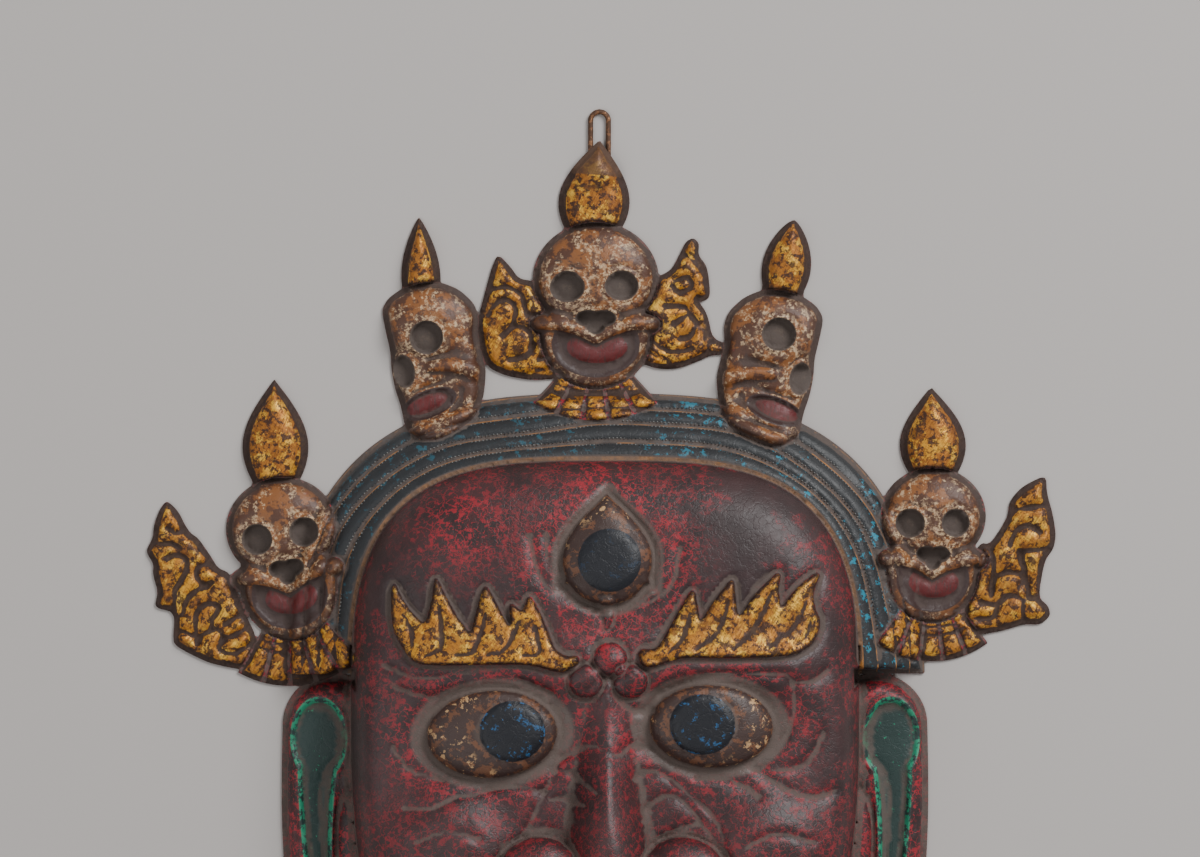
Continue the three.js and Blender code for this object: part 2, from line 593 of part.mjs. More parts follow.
// How deep inside the sheet's outline a point lies, and the height of the sheet's front there.
function sheet(x, y) {
  const face = faceEdge(x, y);
  const hair = hairEdge(x, y);
  const ear = earEdge(x, y);
  let edge = Math.max(face, hair, ear);
  let z = SHEET;
  if (hair > 0 && face <= 0) z = Math.max(z, hairHeight(x, y, hair));
  if (ear > 0 && face <= 0) z = Math.max(z, earHeight(x, y, ear));
  let covered = 0;
  let crown = 0;
  const add = ({ edge: depth, z: rise }) => {
    edge = Math.max(edge, depth);
    if (depth > -2) {
      crown = Math.max(crown, depth > 0 ? rise : crown);
      covered = Math.max(covered, ease((depth + 2) / 4));
    }
  };
  for (const scroll of scrolls) add(scroll(x, y));
  for (const jewel of jewels) {
    const depth = jewel.edge(x, y);
    add({ edge: depth, z: JEWEL_RISE * shoulder((depth - BRIM * 0.4) / (jewel.halfWidth * 0.7)) });
  }
  for (const shape of skullShapes) {
    const skull = shape(x, y);
    if (skull.edge > 0) crown = 0;
    add(skull);
  }
  if (face > 0) z = faceHeight(x, y, face);
  z = Math.max(SHEET, z + crown - (z > SHEET ? 1.5 * covered : 0));
  const rimmed = ease((edge - 0.5 * BRIM) / BRIM);
  return { edge, z: wireLift(x, y) + SHEET + (z - SHEET) * rimmed };
}

// Facets: the sheet's outline is traced, corners are set where the relief bends most, and all of them
// are joined by the triangulation in which no circle through three corners holds a fourth.

const crownReach = Math.max(...jewels.map((jewel) => jewel.frame.outside(0, jewel.length)[1]));
const sideReach = Math.max(...skulls.map((skull) => Math.abs(skull.x) + 3 * skull.radius), earX + EAR_HALF_WIDTH);
const span = Math.max(crownReach + CHIN, 2 * sideReach) + 4 * RIM_STEP;
const cell = span / CELLS;
const left = -span / 2;
const bottom = (crownReach - CHIN) / 2 - span / 2;
const side = CELLS + 1;
const spot = (column, row) => [left + column * cell, bottom + row * cell];

const drawing = Array.from({ length: side * side }, (_, k) => sheet(...spot(k % side, Math.floor(k / side))));
const depthAt = (column, row) => drawing[row * side + column].edge;
const heightAt = (column, row) => drawing[row * side + column].z;

// Where the outline crosses the drawing's squares, followed with the sheet on its left, as closed loops.
function outlineLoops() {
  const next = new Map();
  const crossing = (c1, r1, c2, r2) => {
    const [d1, d2] = [depthAt(c1, r1), depthAt(c2, r2)];
    const t = d1 / (d1 - d2);
    const [x1, y1] = spot(c1, r1);
    const [x2, y2] = spot(c2, r2);
    return { key: `${c1 + c2} ${r1 + r2}`, at: [x1 + (x2 - x1) * t, y1 + (y2 - y1) * t] };
  };
  for (let row = 0; row < CELLS; row++) {
    for (let column = 0; column < CELLS; column++) {
      const corners = [
        [column, row],
        [column + 1, row],
        [column + 1, row + 1],
        [column, row + 1],
      ];
      const within = corners.map(([c, r]) => depthAt(c, r) > 0);
      for (let i = 0; i < 4; i++) {
        if (!within[i] || within[(i + 1) % 4]) continue;
        let j = (i + 3) % 4;
        while (within[j]) j = (j + 3) % 4;
        const leave = crossing(...corners[i], ...corners[(i + 1) % 4]);
        const enter = crossing(...corners[j], ...corners[(j + 1) % 4]);
        next.set(leave.key, { at: leave.at, to: enter.key });
      }
    }
  }
  const loops = [];
  while (next.size > 0) {
    const loop = [];
    let key = next.keys().next().value;
    while (next.has(key)) {
      const { at, to } = next.get(key);
      next.delete(key);
      loop.push(at);
      key = to;
    }
    loops.push(loop);
  }
  return loops.filter((loop) => loop.length > 8);
}

// Leaves out points of a closed loop that stray less than RIM_ERROR from the line between those kept.
function simplified(loop) {
  const keep = [];
  const walk = (from, to) => {
    const [ax, ay] = loop[from];
    const [bx, by] = loop[to % loop.length];
    const length = Math.hypot(bx - ax, by - ay);
    let farthest = from;
    let stray = length > RIM_STEP ? RIM_ERROR : 0;
    if (length > RIM_STEP) farthest = Math.floor((from + to) / 2);
    for (let i = from + 1; i < to; i++) {
      const [x, y] = loop[i % loop.length];
      const away = Math.abs((x - ax) * (by - ay) - (y - ay) * (bx - ax)) / Math.max(length, 1e-9);
      if (away > Math.max(stray, RIM_ERROR)) [farthest, stray] = [i, away];
    }
    if (farthest === from) {
      keep.push(loop[from]);
    } else {
      walk(from, farthest);
      walk(farthest, to);
    }
  };
  const half = Math.floor(loop.length / 2);
  walk(0, half);
  walk(half, loop.length);
  return keep;
}

// How strongly the relief bends about each corner of the drawing, smoothed over its neighbours.
function bends() {
  const smooth = new Float64Array(side * side);
  const bend = new Float64Array(side * side);
  for (let row = 1; row < CELLS; row++) {
    for (let column = 1; column < CELLS; column++) {
      let sum = 0;
      for (const [dc, dr] of [[0, 0], [0, 0], [1, 0], [-1, 0], [0, 1], [0, -1]]) {
        sum += heightAt(column + dc, row + dr);
      }
      smooth[row * side + column] = sum / 6;
    }
  }
  for (let row = 2; row < CELLS - 1; row++) {
    for (let column = 2; column < CELLS - 1; column++) {
      const k = row * side + column;
      const xx = smooth[k + 1] + smooth[k - 1] - 2 * smooth[k];
      const yy = smooth[k + side] + smooth[k - side] - 2 * smooth[k];
      const xy = (smooth[k + side + 1] + smooth[k - side - 1] - smooth[k + side - 1] - smooth[k - side + 1]) / 4;
      const slope = Math.hypot(smooth[k + 1] - smooth[k - 1], smooth[k + side] - smooth[k - side]) / (2 * cell);
      bend[k] = Math.hypot(xx, yy, Math.SQRT2 * xy) / (cell * cell) / (1 + slope * slope);
    }
  }
  return bend;
}

// Corners inside the outline, the sharpest bends first, each as far from the others as its bend allows.
function innerCorners(error, bend, order, rimCorners) {
  const bucket = LARGEST_STEP;
  const buckets = new Map();
  const bucketOf = (x, y) => [Math.floor(x / bucket), Math.floor(y / bucket)];
  const put = (point) => {
    const key = bucketOf(...point).join(" ");
    if (!buckets.has(key)) buckets.set(key, []);
    buckets.get(key).push(point);
  };
  const crowded = (x, y, reach) => {
    const [bx, by] = bucketOf(x, y);
    for (let i = bx - 1; i <= bx + 1; i++) {
      for (let j = by - 1; j <= by + 1; j++) {
        for (const [px, py] of buckets.get(`${i} ${j}`) ?? []) {
          if (Math.hypot(px - x, py - y) < reach) return true;
        }
      }
    }
    return false;
  };
  rimCorners.forEach(put);
  const inner = [];
  for (const k of order) {
    const spacing = Math.sqrt((8 * error) / Math.max(bend[k], 1e-6));
    const reach = Math.min(LARGEST_STEP, Math.max(SMALLEST_STEP, spacing));
    const [x, y] = spot(k % side, Math.floor(k / side));
    if (drawing[k].edge < Math.min(reach / 2, RIM_STEP / 2) || crowded(x, y, reach)) continue;
    const point = [x + cell * 0.01 * Math.sin(k), y + cell * 0.01 * Math.cos(7 * k)];
    inner.push(point);
    put(point);
  }
  return inner;
}

function triangulate(points) {
  const n = points.length;
  const far = 10 * span;
  const at = [...points, [-far, -far], [far, -far], [0, far]];
  const withCircle = (a, b, c) => {
    const [ax, ay] = at[a];
    const [bx, by] = [at[b][0] - ax, at[b][1] - ay];
    const [cx, cy] = [at[c][0] - ax, at[c][1] - ay];
    const d = 2 * (bx * cy - by * cx);
    const x = (cy * (bx * bx + by * by) - by * (cx * cx + cy * cy)) / d;
    const y = (bx * (cx * cx + cy * cy) - cx * (bx * bx + by * by)) / d;
    return { corners: [a, b, c], x: ax + x, y: ay + y, square: x * x + y * y };
  };
  let triangles = [withCircle(n, n + 1, n + 2)];
  points.forEach(([x, y], i) => {
    const hole = new Map();
    triangles = triangles.filter((triangle) => {
      if ((x - triangle.x) ** 2 + (y - triangle.y) ** 2 >= triangle.square) return true;
      const [a, b, c] = triangle.corners;
      for (const [p, q] of [[a, b], [b, c], [c, a]]) {
        if (!hole.delete(`${q} ${p}`)) hole.set(`${p} ${q}`, [p, q]);
      }
      return false;
    });
    for (const [p, q] of hole.values()) triangles.push(withCircle(p, q, i));
  });
  return triangles.map((triangle) => triangle.corners).filter((corners) => Math.max(...corners) < n);
}

// Halves every stretch of rim that the triangulation doesn't follow, until it follows them all.
function joined(loops, inner) {
  let rims = loops;
  for (let pass = 0; pass < 8; pass++) {
    const points = [...rims.flat(), ...inner];
    const triangles = triangulate(points);
    const sides = new Set(triangles.flatMap(([a, b, c]) => [`${a} ${b}`, `${b} ${c}`, `${c} ${a}`]));
    let start = 0;
    let missed = 0;
    rims = rims.map((loop) => {
      const fuller = loop.flatMap((point, i) => {
        const j = (i + 1) % loop.length;
        if (sides.has(`${start + i} ${start + j}`)) return [point];
        missed += 1;
        return [point, [(point[0] + loop[j][0]) / 2, (point[1] + loop[j][1]) / 2]];
      });
      start += loop.length;
      return fuller;
    });
    if (missed === 0) return { points, triangles, rims };
  }
  throw new Error("the outline turns too sharply for its facets");
}

function facets() {
  const rims = outlineLoops().map(simplified);
  const rimCorners = rims.flat();
  const bend = bends();
  const order = Array.from(bend.keys())
    .filter((k) => drawing[k].edge > 0)
    .sort((a, b) => bend[b] - bend[a]);
  const wanted = (FACETS_PER_SIDE - rimCorners.length) / 2;
  let [low, high] = [0.01, 10];
  for (let pass = 0; pass < 12; pass++) {
    const error = Math.sqrt(low * high);
    if (innerCorners(error, bend, order, rimCorners).length > wanted) low = error;
    else high = error;
  }
  const mesh = joined(rims, innerCorners(high, bend, order, rimCorners));
  const inside = (x, y) => {
    let odd = false;
    for (const loop of mesh.rims) {
      for (let i = 0; i < loop.length; i++) {
        const [ax, ay] = loop[i];
        const [bx, by] = loop[(i + 1) % loop.length];
        if (ay > y !== by > y && x < ax + ((bx - ax) * (y - ay)) / (by - ay)) odd = !odd;
      }
    }
    return odd;
  };
  const middle = (corners, i) => corners.reduce((sum, k) => sum + mesh.points[k][i] / 3, 0);
  const kept = mesh.triangles.filter((corners) => inside(middle(corners, 0), middle(corners, 1)));
  return { points: mesh.points, kept, rimCount: mesh.rims.flat().length };
}

// The sheet's back runs SHEET below its front, measured square to the surface, and never below the
// table or the wire.
function backHeight(x, y, front) {
  const step = 0.5;
  const slopeX = (sheet(x + step, y).z - sheet(x - step, y).z) / (2 * step);
  const slopeY = (sheet(x, y + step).z - sheet(x, y - step).z) / (2 * step);
  return Math.max(wireLift(x, y), front - SHEET * Math.min(3, Math.hypot(1, slopeX, slopeY)));
}

function sheetGeometry() {
  const { points, kept, rimCount } = facets();
  const front = [];
  const back = [];
  points.forEach(([x, y], k) => {
    const lift = wireLift(x, y);
    const z = k < rimCount ? lift + SHEET : sheet(x, y).z;
    front.push(x, y, z);
    back.push(x, y, k < rimCount ? lift : backHeight(x, y, z));
  });
  const count = points.length;
  const faces = [];
  const rim = new Set();
  for (const [a, b, c] of kept) {
    faces.push(a, b, c, count + a, count + c, count + b);
    for (const [p, q] of [[a, b], [b, c], [c, a]]) {
      if (!rim.delete(`${q} ${p}`)) rim.add(`${p} ${q}`);
    }
  }
  for (const pair of rim) {
    const [p, q] = pair.split(" ").map(Number);
    faces.push(p, count + p, q, q, count + p, count + q);
  }
  const geometry = new THREE.BufferGeometry();
  geometry.setAttribute("position", new THREE.Float32BufferAttribute([...front, ...back], 3));
  geometry.setIndex(faces);
  return geometry;
}

// The hanging loop: one wire bent into a narrow arch, its legs lying behind the jewel's tip.
function loopGeometry() {
  const half = (LOOP_GAP + WIRE) / 2;
  const top = LOOP_LENGTH - WIRE / 2;
  const path = new THREE.CurvePath();
  const at = (u, v) => new THREE.Vector3(jewelTip.x + u, jewelTip.y + v, WIRE / 2);
  path.add(new THREE.LineCurve3(at(half, -LOOP_LEG), at(half, top - half)));
  const k = 0.5523 * half; // handle length that makes a Bezier quarter circle
  path.add(new THREE.CubicBezierCurve3(at(half, top - half), at(half, top - half + k), at(k, top), at(0, top)));
  path.add(new THREE.CubicBezierCurve3(at(0, top), at(-k, top), at(-half, top - half + k), at(-half, top - half)));
  path.add(new THREE.LineCurve3(at(-half, top - half), at(-half, -LOOP_LEG)));
  const section = new THREE.Shape().absarc(0, 0, WIRE / 2, 0, 2 * Math.PI);
  return new THREE.ExtrudeGeometry(section, { steps: 18, curveSegments: 4, extrudePath: path });
}

const copper = new THREE.MeshStandardMaterial({ color: 0x4a2222, roughness: 0.5, metalness: 0.3 });
const iron = new THREE.MeshStandardMaterial({ color: 0x6b4630, roughness: 0.7, metalness: 0.6 });

function named(name, geometry, material) {
  const mesh = new THREE.Mesh(geometry, material);
  mesh.name = name;
  return mesh;
}

const mask = new THREE.Group();
mask.add(named("mask_sheet", sheetGeometry(), copper));
mask.add(named("hanging_loop", loopGeometry(), iron));

// The part's origin is the middle of its footprint, on the table.
const footprint = new THREE.Box3().setFromObject(mask);
const middle = footprint.getCenter(new THREE.Vector3());
mask.position.set(-middle.x, -middle.y, -footprint.min.z);

const part = new THREE.Group();
part.add(mask);
export default part;
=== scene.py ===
# %% [markdown]
# # A copper dance mask with a crown of five skulls
# The real mask is one thin copper sheet. A smith drew the design on it, raised the large forms from
# behind with hammers, turned the sheet over and chased the lines from the front, then cut the
# outline and painted it. This script does the same in that order: a drawing, a relief over the
# drawing, a sheet laid over the relief, and paint that knows which part of the drawing it lies on.

import bpy
import json
import math
import numpy as np
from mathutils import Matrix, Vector

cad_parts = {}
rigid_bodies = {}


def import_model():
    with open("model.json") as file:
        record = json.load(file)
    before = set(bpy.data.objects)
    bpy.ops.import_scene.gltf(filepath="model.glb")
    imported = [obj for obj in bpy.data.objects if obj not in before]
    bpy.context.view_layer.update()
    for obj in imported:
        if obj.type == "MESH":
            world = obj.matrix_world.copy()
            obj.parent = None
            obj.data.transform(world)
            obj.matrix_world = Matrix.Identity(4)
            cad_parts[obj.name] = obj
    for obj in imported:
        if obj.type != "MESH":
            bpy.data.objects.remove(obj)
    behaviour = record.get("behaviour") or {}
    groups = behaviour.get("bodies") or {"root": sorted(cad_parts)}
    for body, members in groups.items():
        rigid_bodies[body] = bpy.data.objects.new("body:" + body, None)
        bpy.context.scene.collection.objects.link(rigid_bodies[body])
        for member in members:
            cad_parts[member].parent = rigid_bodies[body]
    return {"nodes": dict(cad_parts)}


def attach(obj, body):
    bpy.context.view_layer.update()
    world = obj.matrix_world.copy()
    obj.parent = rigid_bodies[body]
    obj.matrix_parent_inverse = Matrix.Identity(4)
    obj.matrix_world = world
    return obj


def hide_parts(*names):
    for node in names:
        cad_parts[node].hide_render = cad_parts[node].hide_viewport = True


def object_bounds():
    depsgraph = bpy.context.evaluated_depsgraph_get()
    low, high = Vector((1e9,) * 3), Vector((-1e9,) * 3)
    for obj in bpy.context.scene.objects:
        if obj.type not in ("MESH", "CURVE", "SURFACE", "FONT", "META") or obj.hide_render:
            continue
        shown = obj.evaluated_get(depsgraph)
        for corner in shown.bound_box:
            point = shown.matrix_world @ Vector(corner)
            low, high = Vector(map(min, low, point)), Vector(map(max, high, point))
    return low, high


for leftover in list(bpy.data.objects):
    bpy.data.objects.remove(leftover)
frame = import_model()
cad_low, cad_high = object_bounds()
MM = 0.001
print("frame holds", sorted(frame["nodes"]), "within", [round(v, 3) for v in cad_high - cad_low])

# %% [markdown]
# ## Sizes
# All sizes are in millimetres. The drawing's own zero is the middle of the line through the eyes,
# because a mask maker sets out a face from there. Carved figures are drawn in shares of their own
# size, so a skull can grow without its parts drifting.

# %% Driving sizes
SHEET = 1.2
BRIM = 2.4
FACE_HALF_WIDTH, FOREHEAD, CHIN = 114, 117, 178
HAIR_WIDTH, HAIR_RISE, LOCKS, LOCK_RISE = 30, 23, 4, 2.6
EAR_RISE, EAR_HALF_WIDTH, EAR_TOP, EAR_LOBE, EAR_INSET = 10, 23, 21, 142, 8
WALL_RISE, WALL_RUN, FACE_CROWN, CROWN_RUN = 26, 12, 16, 90
EYE_RISE, NOSE_RISE, CHEEK_RISE, BROW_RISE, FLAME_RISE = 7, 24, 8, 4, 3.2
MOUTH_SINK, FANG_RISE, CHIN_RISE = 7, 6, 9
SKULL_RISE, JAW_RISE, SOCKET_SINK = 12, 8, 6
JEWEL_RISE, SCROLL_RISE, COLLAR_RISE = 9, 5, 5
GROOVE, GROOVE_HALF = 1.5, 1.15
WIRE, LOOP_GAP, LOOP_LENGTH, LOOP_LEG, SOLDER_GAP = 2.4, 5.6, 14, 9, 0.3

# %% [markdown]
# ## The drawing board
# The relief is a height at every point of a fine square grid, one power of two wide so that it can
# be halved down to single squares later. NumPy works on the whole grid at once, which keeps a
# million points quick.

# %% The grid
CELLS = 1024
crown_reach = 264.0
span = crown_reach + CHIN + 34
left, bottom = -span / 2, (crown_reach - CHIN) / 2 - span / 2
cell = span / CELLS
side = CELLS + 1
ticks = np.arange(side, dtype=np.float32) * np.float32(cell)
X, Y = np.meshgrid(left + ticks, bottom + ticks)
print(f"drawing board {span:.0f} mm wide, one point every {cell:.2f} mm")

# %% Cross-sections
def clamp01(t):
    return np.clip(t, 0, 1)


def ease(t):
    t = clamp01(t)
    return t * t * (3 - 2 * t)


def shoulder(t):
    return np.sqrt(1 - (1 - clamp01(t)) ** 2)


def swell(t):
    return np.sin(np.pi / 2 * clamp01(t))


def chased(distance, width=GROOVE_HALF):
    return GROOVE * np.exp(-((distance / width) ** 2))


# %% [markdown]
# ## Shapes of the drawing
# Every outline is a function that says how deep inside it a point lies, and less than nothing
# outside. Depths can be joined with a maximum, raised with a shoulder and edged with a chased line,
# and later they tell the paint where to stop. A mesh boolean could do the first of these, but none
# of the others.

# %% Outlines
def oval(cx, cy, rx, ry, tilt=0):
    cos, sin = math.cos(math.radians(tilt)), math.sin(math.radians(tilt))

    def depth(x, y):
        u = ((x - cx) * cos + (y - cy) * sin) / rx
        v = ((y - cy) * cos - (x - cx) * sin) / ry
        return (1 - np.hypot(u, v)) * min(rx, ry)

    return depth


def shield(half_width, above, below, square_above, square_below):
    def depth(x, y):
        n = np.where(y > 0, square_above, square_below)
        b = np.where(y > 0, above, below)
        share = ((np.abs(x) / half_width) ** n + (np.abs(y) / b) ** n) ** (1 / n)
        share = np.maximum(share, 1e-4)
        return np.minimum(half_width, np.hypot(x, y) * (1 - share) / share)

    return depth


def leaf(length, half_width, base=0.72, power=1.0):
    start = math.asin(base) / math.pi

    def depth(x, y):
        phase = start + (1 - start) * clamp01(y / length)
        width = half_width * np.maximum(np.sin(np.pi * phase), 0) ** power
        across = (width - np.abs(x)) * 0.85
        inside = np.minimum(across, y + half_width / 2)
        return np.where(y >= length, -np.hypot(x, y - length), inside)

    return depth


def union(*shapes):
    def depth(x, y):
        deepest = shapes[0](x, y)
        for shape in shapes[1:]:
            deepest = np.maximum(deepest, shape(x, y))
        return deepest

    return depth


CORNER_CUT = 0.2


def outlined(*corners, reach=0.3):
    """A free outline through the corners, each cut back twice to round it a little."""
    ring = np.array(corners, float)
    for _ in range(2):
        ahead = np.roll(ring, -1, axis=0) - ring
        ring = np.stack([ring + ahead * CORNER_CUT, ring + ahead * (1 - CORNER_CUT)], 1).reshape(-1, 2)
    ends = np.roll(ring, -1, axis=0)
    (low_x, low_y), (high_x, high_y) = ring.min(0) - reach, ring.max(0) + reach

    def depth(x, y):
        near = (x > low_x) & (x < high_x) & (y > low_y) & (y < high_y)
        result = np.full(np.shape(x), -reach, np.float32)
        xs, ys = x[near], y[near]
        nearest, odd = np.full(xs.shape, 9.0, np.float32), np.zeros(xs.shape, bool)
        for (ax, ay), (bx, by) in zip(ring, ends):
            dx, dy = bx - ax, by - ay
            t = clamp01(((xs - ax) * dx + (ys - ay) * dy) / max(dx * dx + dy * dy, 1e-12))
            nearest = np.minimum(nearest, np.hypot(xs - ax - t * dx, ys - ay - t * dy))
            if ay != by:
                odd ^= ((ay > ys) != (by > ys)) & (xs < ax + dx * (ys - ay) / dy)
        result[near] = np.where(odd, nearest, -nearest)
        return result

    return depth


# %% Strokes
def bend_points(start, bend, end, steps):
    t = np.linspace(0, 1, steps + 1)[:, None]
    return (1 - t) ** 2 * np.array(start) + 2 * t * (1 - t) * np.array(bend) + t**2 * np.array(end)


def stroke(points, radii):
    """Depth inside a chain of round-ended strokes whose half width goes from one radius to the next."""
    reach = 3 * max(radii)
    low, high = points.min(0) - reach, points.max(0) + reach

    def depth(x, y):
        near = (x > low[0]) & (x < high[0]) & (y > low[1]) & (y < high[1])
        result = np.full(np.shape(x), -reach, np.float32)
        if not near.any():
            return result
        xs, ys = x[near], y[near]
        deepest = np.full(xs.shape, -reach, np.float32)
        for i in range(len(points) - 1):
            (ax, ay), (bx, by) = points[i], points[i + 1]
            dx, dy = bx - ax, by - ay
            t = clamp01(((xs - ax) * dx + (ys - ay) * dy) / max(dx * dx + dy * dy, 1e-9))
            radius = radii[i] + (radii[i + 1] - radii[i]) * t
            deepest = np.maximum(deepest, radius - np.hypot(xs - ax - t * dx, ys - ay - t * dy))
        result[near] = deepest
        return result

    return depth


def horn(start, bend, end, start_radius, end_radius, steps=9):
    radii = [start_radius + (end_radius - start_radius) * i / steps for i in range(steps + 1)]
    return stroke(bend_points(start, bend, end, steps), radii)


def smooth_points(points, steps=6):
    """A smooth curve through the points, as a spline of thin wood would lie against nails."""
    p = np.array([points[0], *points, points[-1]], float)
    t = np.linspace(0, 1, steps, endpoint=False)[:, None]
    out = []
    for a, b, c, d in zip(p, p[1:], p[2:], p[3:]):
        out.append(0.5 * (2 * b + (c - a) * t + (2 * a - 5 * b + 4 * c - d) * t**2
                          + (3 * b - a - 3 * c + d) * t**3))
    return np.vstack([*out, p[-1][None]])


def line(*points, reach=4.0):
    """Distance from a smooth line through the points, no further than reach."""
    curve = smooth_points(points)
    inside = stroke(curve, [reach] * len(curve))
    return lambda x, y: np.minimum(reach - inside(x, y), reach)


FIGURE_REACH = 0.3


def lines_chased(reach, *lines):
    return [line(*points, reach=reach) for points in lines]


# %% A local frame
def place(x, y, size=1.0, tilt=0.0, mirror=1):
    cos, sin = math.cos(math.radians(tilt)), math.sin(math.radians(tilt))

    def inside(px, py):
        u = mirror * ((px - x) * cos + (py - y) * sin) / size
        return u, ((py - y) * cos - (px - x) * sin) / size

    def outside(u, v):
        return x + size * (mirror * u * cos - v * sin), y + size * (mirror * u * sin + v * cos)

    return inside, outside


# %% [markdown]
# ## Face, hair and ears
# The face is a rounded square above the eyes and a long oval below them. The hair is a band round
# its upper half, and the ears hang beside it. The photograph ends at the nose, so the mouth with
# its fangs, the chin and the lobes are in keeping with masks of this kind, and plainer.

# %% Outlines of the face, hair and ears
FOREHEAD_SQUARENESS, JAW_SQUARENESS, HAIR_SQUARENESS = 3.3, 2.5, 2.9
face_edge = shield(FACE_HALF_WIDTH, FOREHEAD, CHIN, FOREHEAD_SQUARENESS, JAW_SQUARENESS)
hair_half_width, hair_top = FACE_HALF_WIDTH + HAIR_WIDTH, FOREHEAD + HAIR_WIDTH
hair_shape = shield(hair_half_width, hair_top, hair_top, HAIR_SQUARENESS, HAIR_SQUARENESS)
ear_x = FACE_HALF_WIDTH + EAR_INSET


def hair_edge(x, y):
    return np.minimum(hair_shape(x, y), y - EAR_TOP)


def ear_edge(x, y):
    top, low = EAR_TOP - EAR_HALF_WIDTH, EAR_HALF_WIDTH - EAR_LOBE
    t = clamp01((top - y) / (top - low))
    middle = ear_x + 3 * np.sin(np.pi * t) - 4 * t
    dy = np.maximum(y - top, 0) + np.maximum(low - y, 0)
    return EAR_HALF_WIDTH * (1 - 0.12 * t) - np.hypot(np.abs(x) - middle, dy)


# %% Eyes, brows and nose
EYES = [
    dict(x=-50, y=-4, rx=29, ry=19.5, tilt=4, iris=(9, 1.5)),
    dict(x=47, y=-0.5, rx=27.5, ry=18.5, tilt=-2, iris=(-4, 1)),
]
eye_balls = [oval(e["x"], e["y"], e["rx"], e["ry"], e["tilt"]) for e in EYES]
eye_irises = [oval(e["x"] + e["iris"][0], e["y"] + e["iris"][1], 14.6, 13.4) for e in EYES]
third_eye = union(oval(1, 73, 20, 20), lambda x, y: leaf(30, 19, 0.98)(x - 1, y - 72))
third_iris = oval(2, 73, 14, 14)
third_tab = horn((1, 53), (2, 48), (1, 43), 4, 1.0)

left_brow = outlined(
    (-94.6, 64.8), (-88, 52), (-79.7, 43.9), (-76.5, 55), (-75.2, 66.3), (-70, 55.8), (-65, 47),
    (-59.5, 40.2), (-57.3, 48.4), (-55, 57.3), (-52.8, 61.8), (-49.1, 55.8), (-45.4, 48.4),
    (-41.6, 43.2), (-42.4, 54.4),
    (-36.4, 49.9), (-33.4, 58.1), (-28.2, 48.4), (-25.2, 41), (-22.2, 33.5), (-17.7, 30.5), (-11.8, 30.5),
    (-11.8, 26.7), (-19.2, 23), (-34.2, 27.5), (-78.9, 26.3), (-86.4, 29), (-94.6, 42.4), reach=4,
)
right_brow = outlined(
    (14.4, 33.5), (23, 33.5), (28, 42), (33, 51), (39, 61.1), (41, 52), (42, 45.4), (49, 56), (56.9, 65.6),
    (57.5, 56), (59.1, 46.9), (67, 59), (77.8, 68.5), (76.5, 60), (77.8, 51.4), (85, 61), (95.7, 68.5),
    (92, 58), (93, 51.4), (95.7, 45.4), (92.7, 36.5), (83.7, 30.5), (49.5, 29.8), (34.5, 30.5),
    (16.6, 24.5), reach=4,
)
eyebrows = union(left_brow, right_brow)
brow_lines = lines_chased(
    3,
    [(-86, 32), (-86, 42), (-91, 53)], [(-80, 30), (-72, 36), (-74, 53)],
    [(-66, 31), (-58, 33), (-53, 49)], [(-52, 31), (-44, 34), (-38, 46)],
    [(-36, 31), (-29, 32), (-31, 44)], [(-22, 29), (-18, 25), (-14, 28)],
    [(28, 32), (34, 38), (38, 50)], [(40, 33), (50, 42), (55, 55)],
    [(56, 33), (66, 43), (74, 59)], [(72, 34), (84, 44), (92, 61)],
    [(84, 35), (89, 38), (91, 46)], [(16, 31), (22, 29), (30, 30)],
)
nose_ridge = horn((1, 12), (0, -25), (2, -66), 9, 21)
NOSTRILS = [(-29, -65, 19), (34, -65, 19)]
cheeks = union(oval(-72, -56, 38, 34), oval(74, -56, 38, 34))
NOSE_CURLS = [(-8.6, 19.4, 8), (11.3, 19.4, 8), (2.3, 29.3, 8)]

# %% Mouth, fangs and the flames round them
MOUTH_X, MOUTH_Y = 2, -118
lips = oval(MOUTH_X, MOUTH_Y, 54, 23)
gape = oval(MOUTH_X, MOUTH_Y - 1, 44, 14)
fangs = union(*[
    shape
    for s in (-1, 1)
    for shape in (
        horn((MOUTH_X + s * 30, -109), (MOUTH_X + s * 31, -116), (MOUTH_X + s * 28, -125), 4.6, 0.6),
        horn((MOUTH_X + s * 36, -127), (MOUTH_X + s * 37, -120), (MOUTH_X + s * 35, -111), 4, 0.6),
    )
])
TEETH, TOOTH_PITCH = 6, 8


def upper_teeth(x, y):
    row = oval(MOUTH_X, -109, TEETH * TOOTH_PITCH / 2, 6)(x, y)
    return np.minimum(row, TOOTH_PITCH / 2 - np.abs((x - MOUTH_X) % TOOTH_PITCH - TOOTH_PITCH / 2))


tongue = oval(MOUTH_X, -124, 22, 8)
chin_ball = oval(2, -156, 36, 17)
BEARD_FLAMES = 7


def beard_flame(i):
    half = (BEARD_FLAMES - 1) / 2
    turn = (i - half) / half
    root = (2 + 56 * turn, -148 + 16 * turn**2)
    tip = (2 + 66 * turn + 5 * np.sign(turn), -168 + 26 * turn**2)
    return horn(root, (root[0] + 2 * turn, (root[1] + tip[1]) / 2), tip, 7, 0.8)


beard = union(*[beard_flame(i) for i in range(BEARD_FLAMES)])
moustache = union(*[
    shape
    for s in (-1, 1)
    for shape in (
        horn((2 + s * 12, -90), (2 + s * 40, -84), (2 + s * 62, -104), 5.5, 4),
        horn((2 + s * 62, -104), (2 + s * 72, -112), (2 + s * 66, -122), 4.5, 1),
        horn((2 + s * 44, -90), (2 + s * 62, -84), (2 + s * 78, -92), 5, 0.8),
    )
])

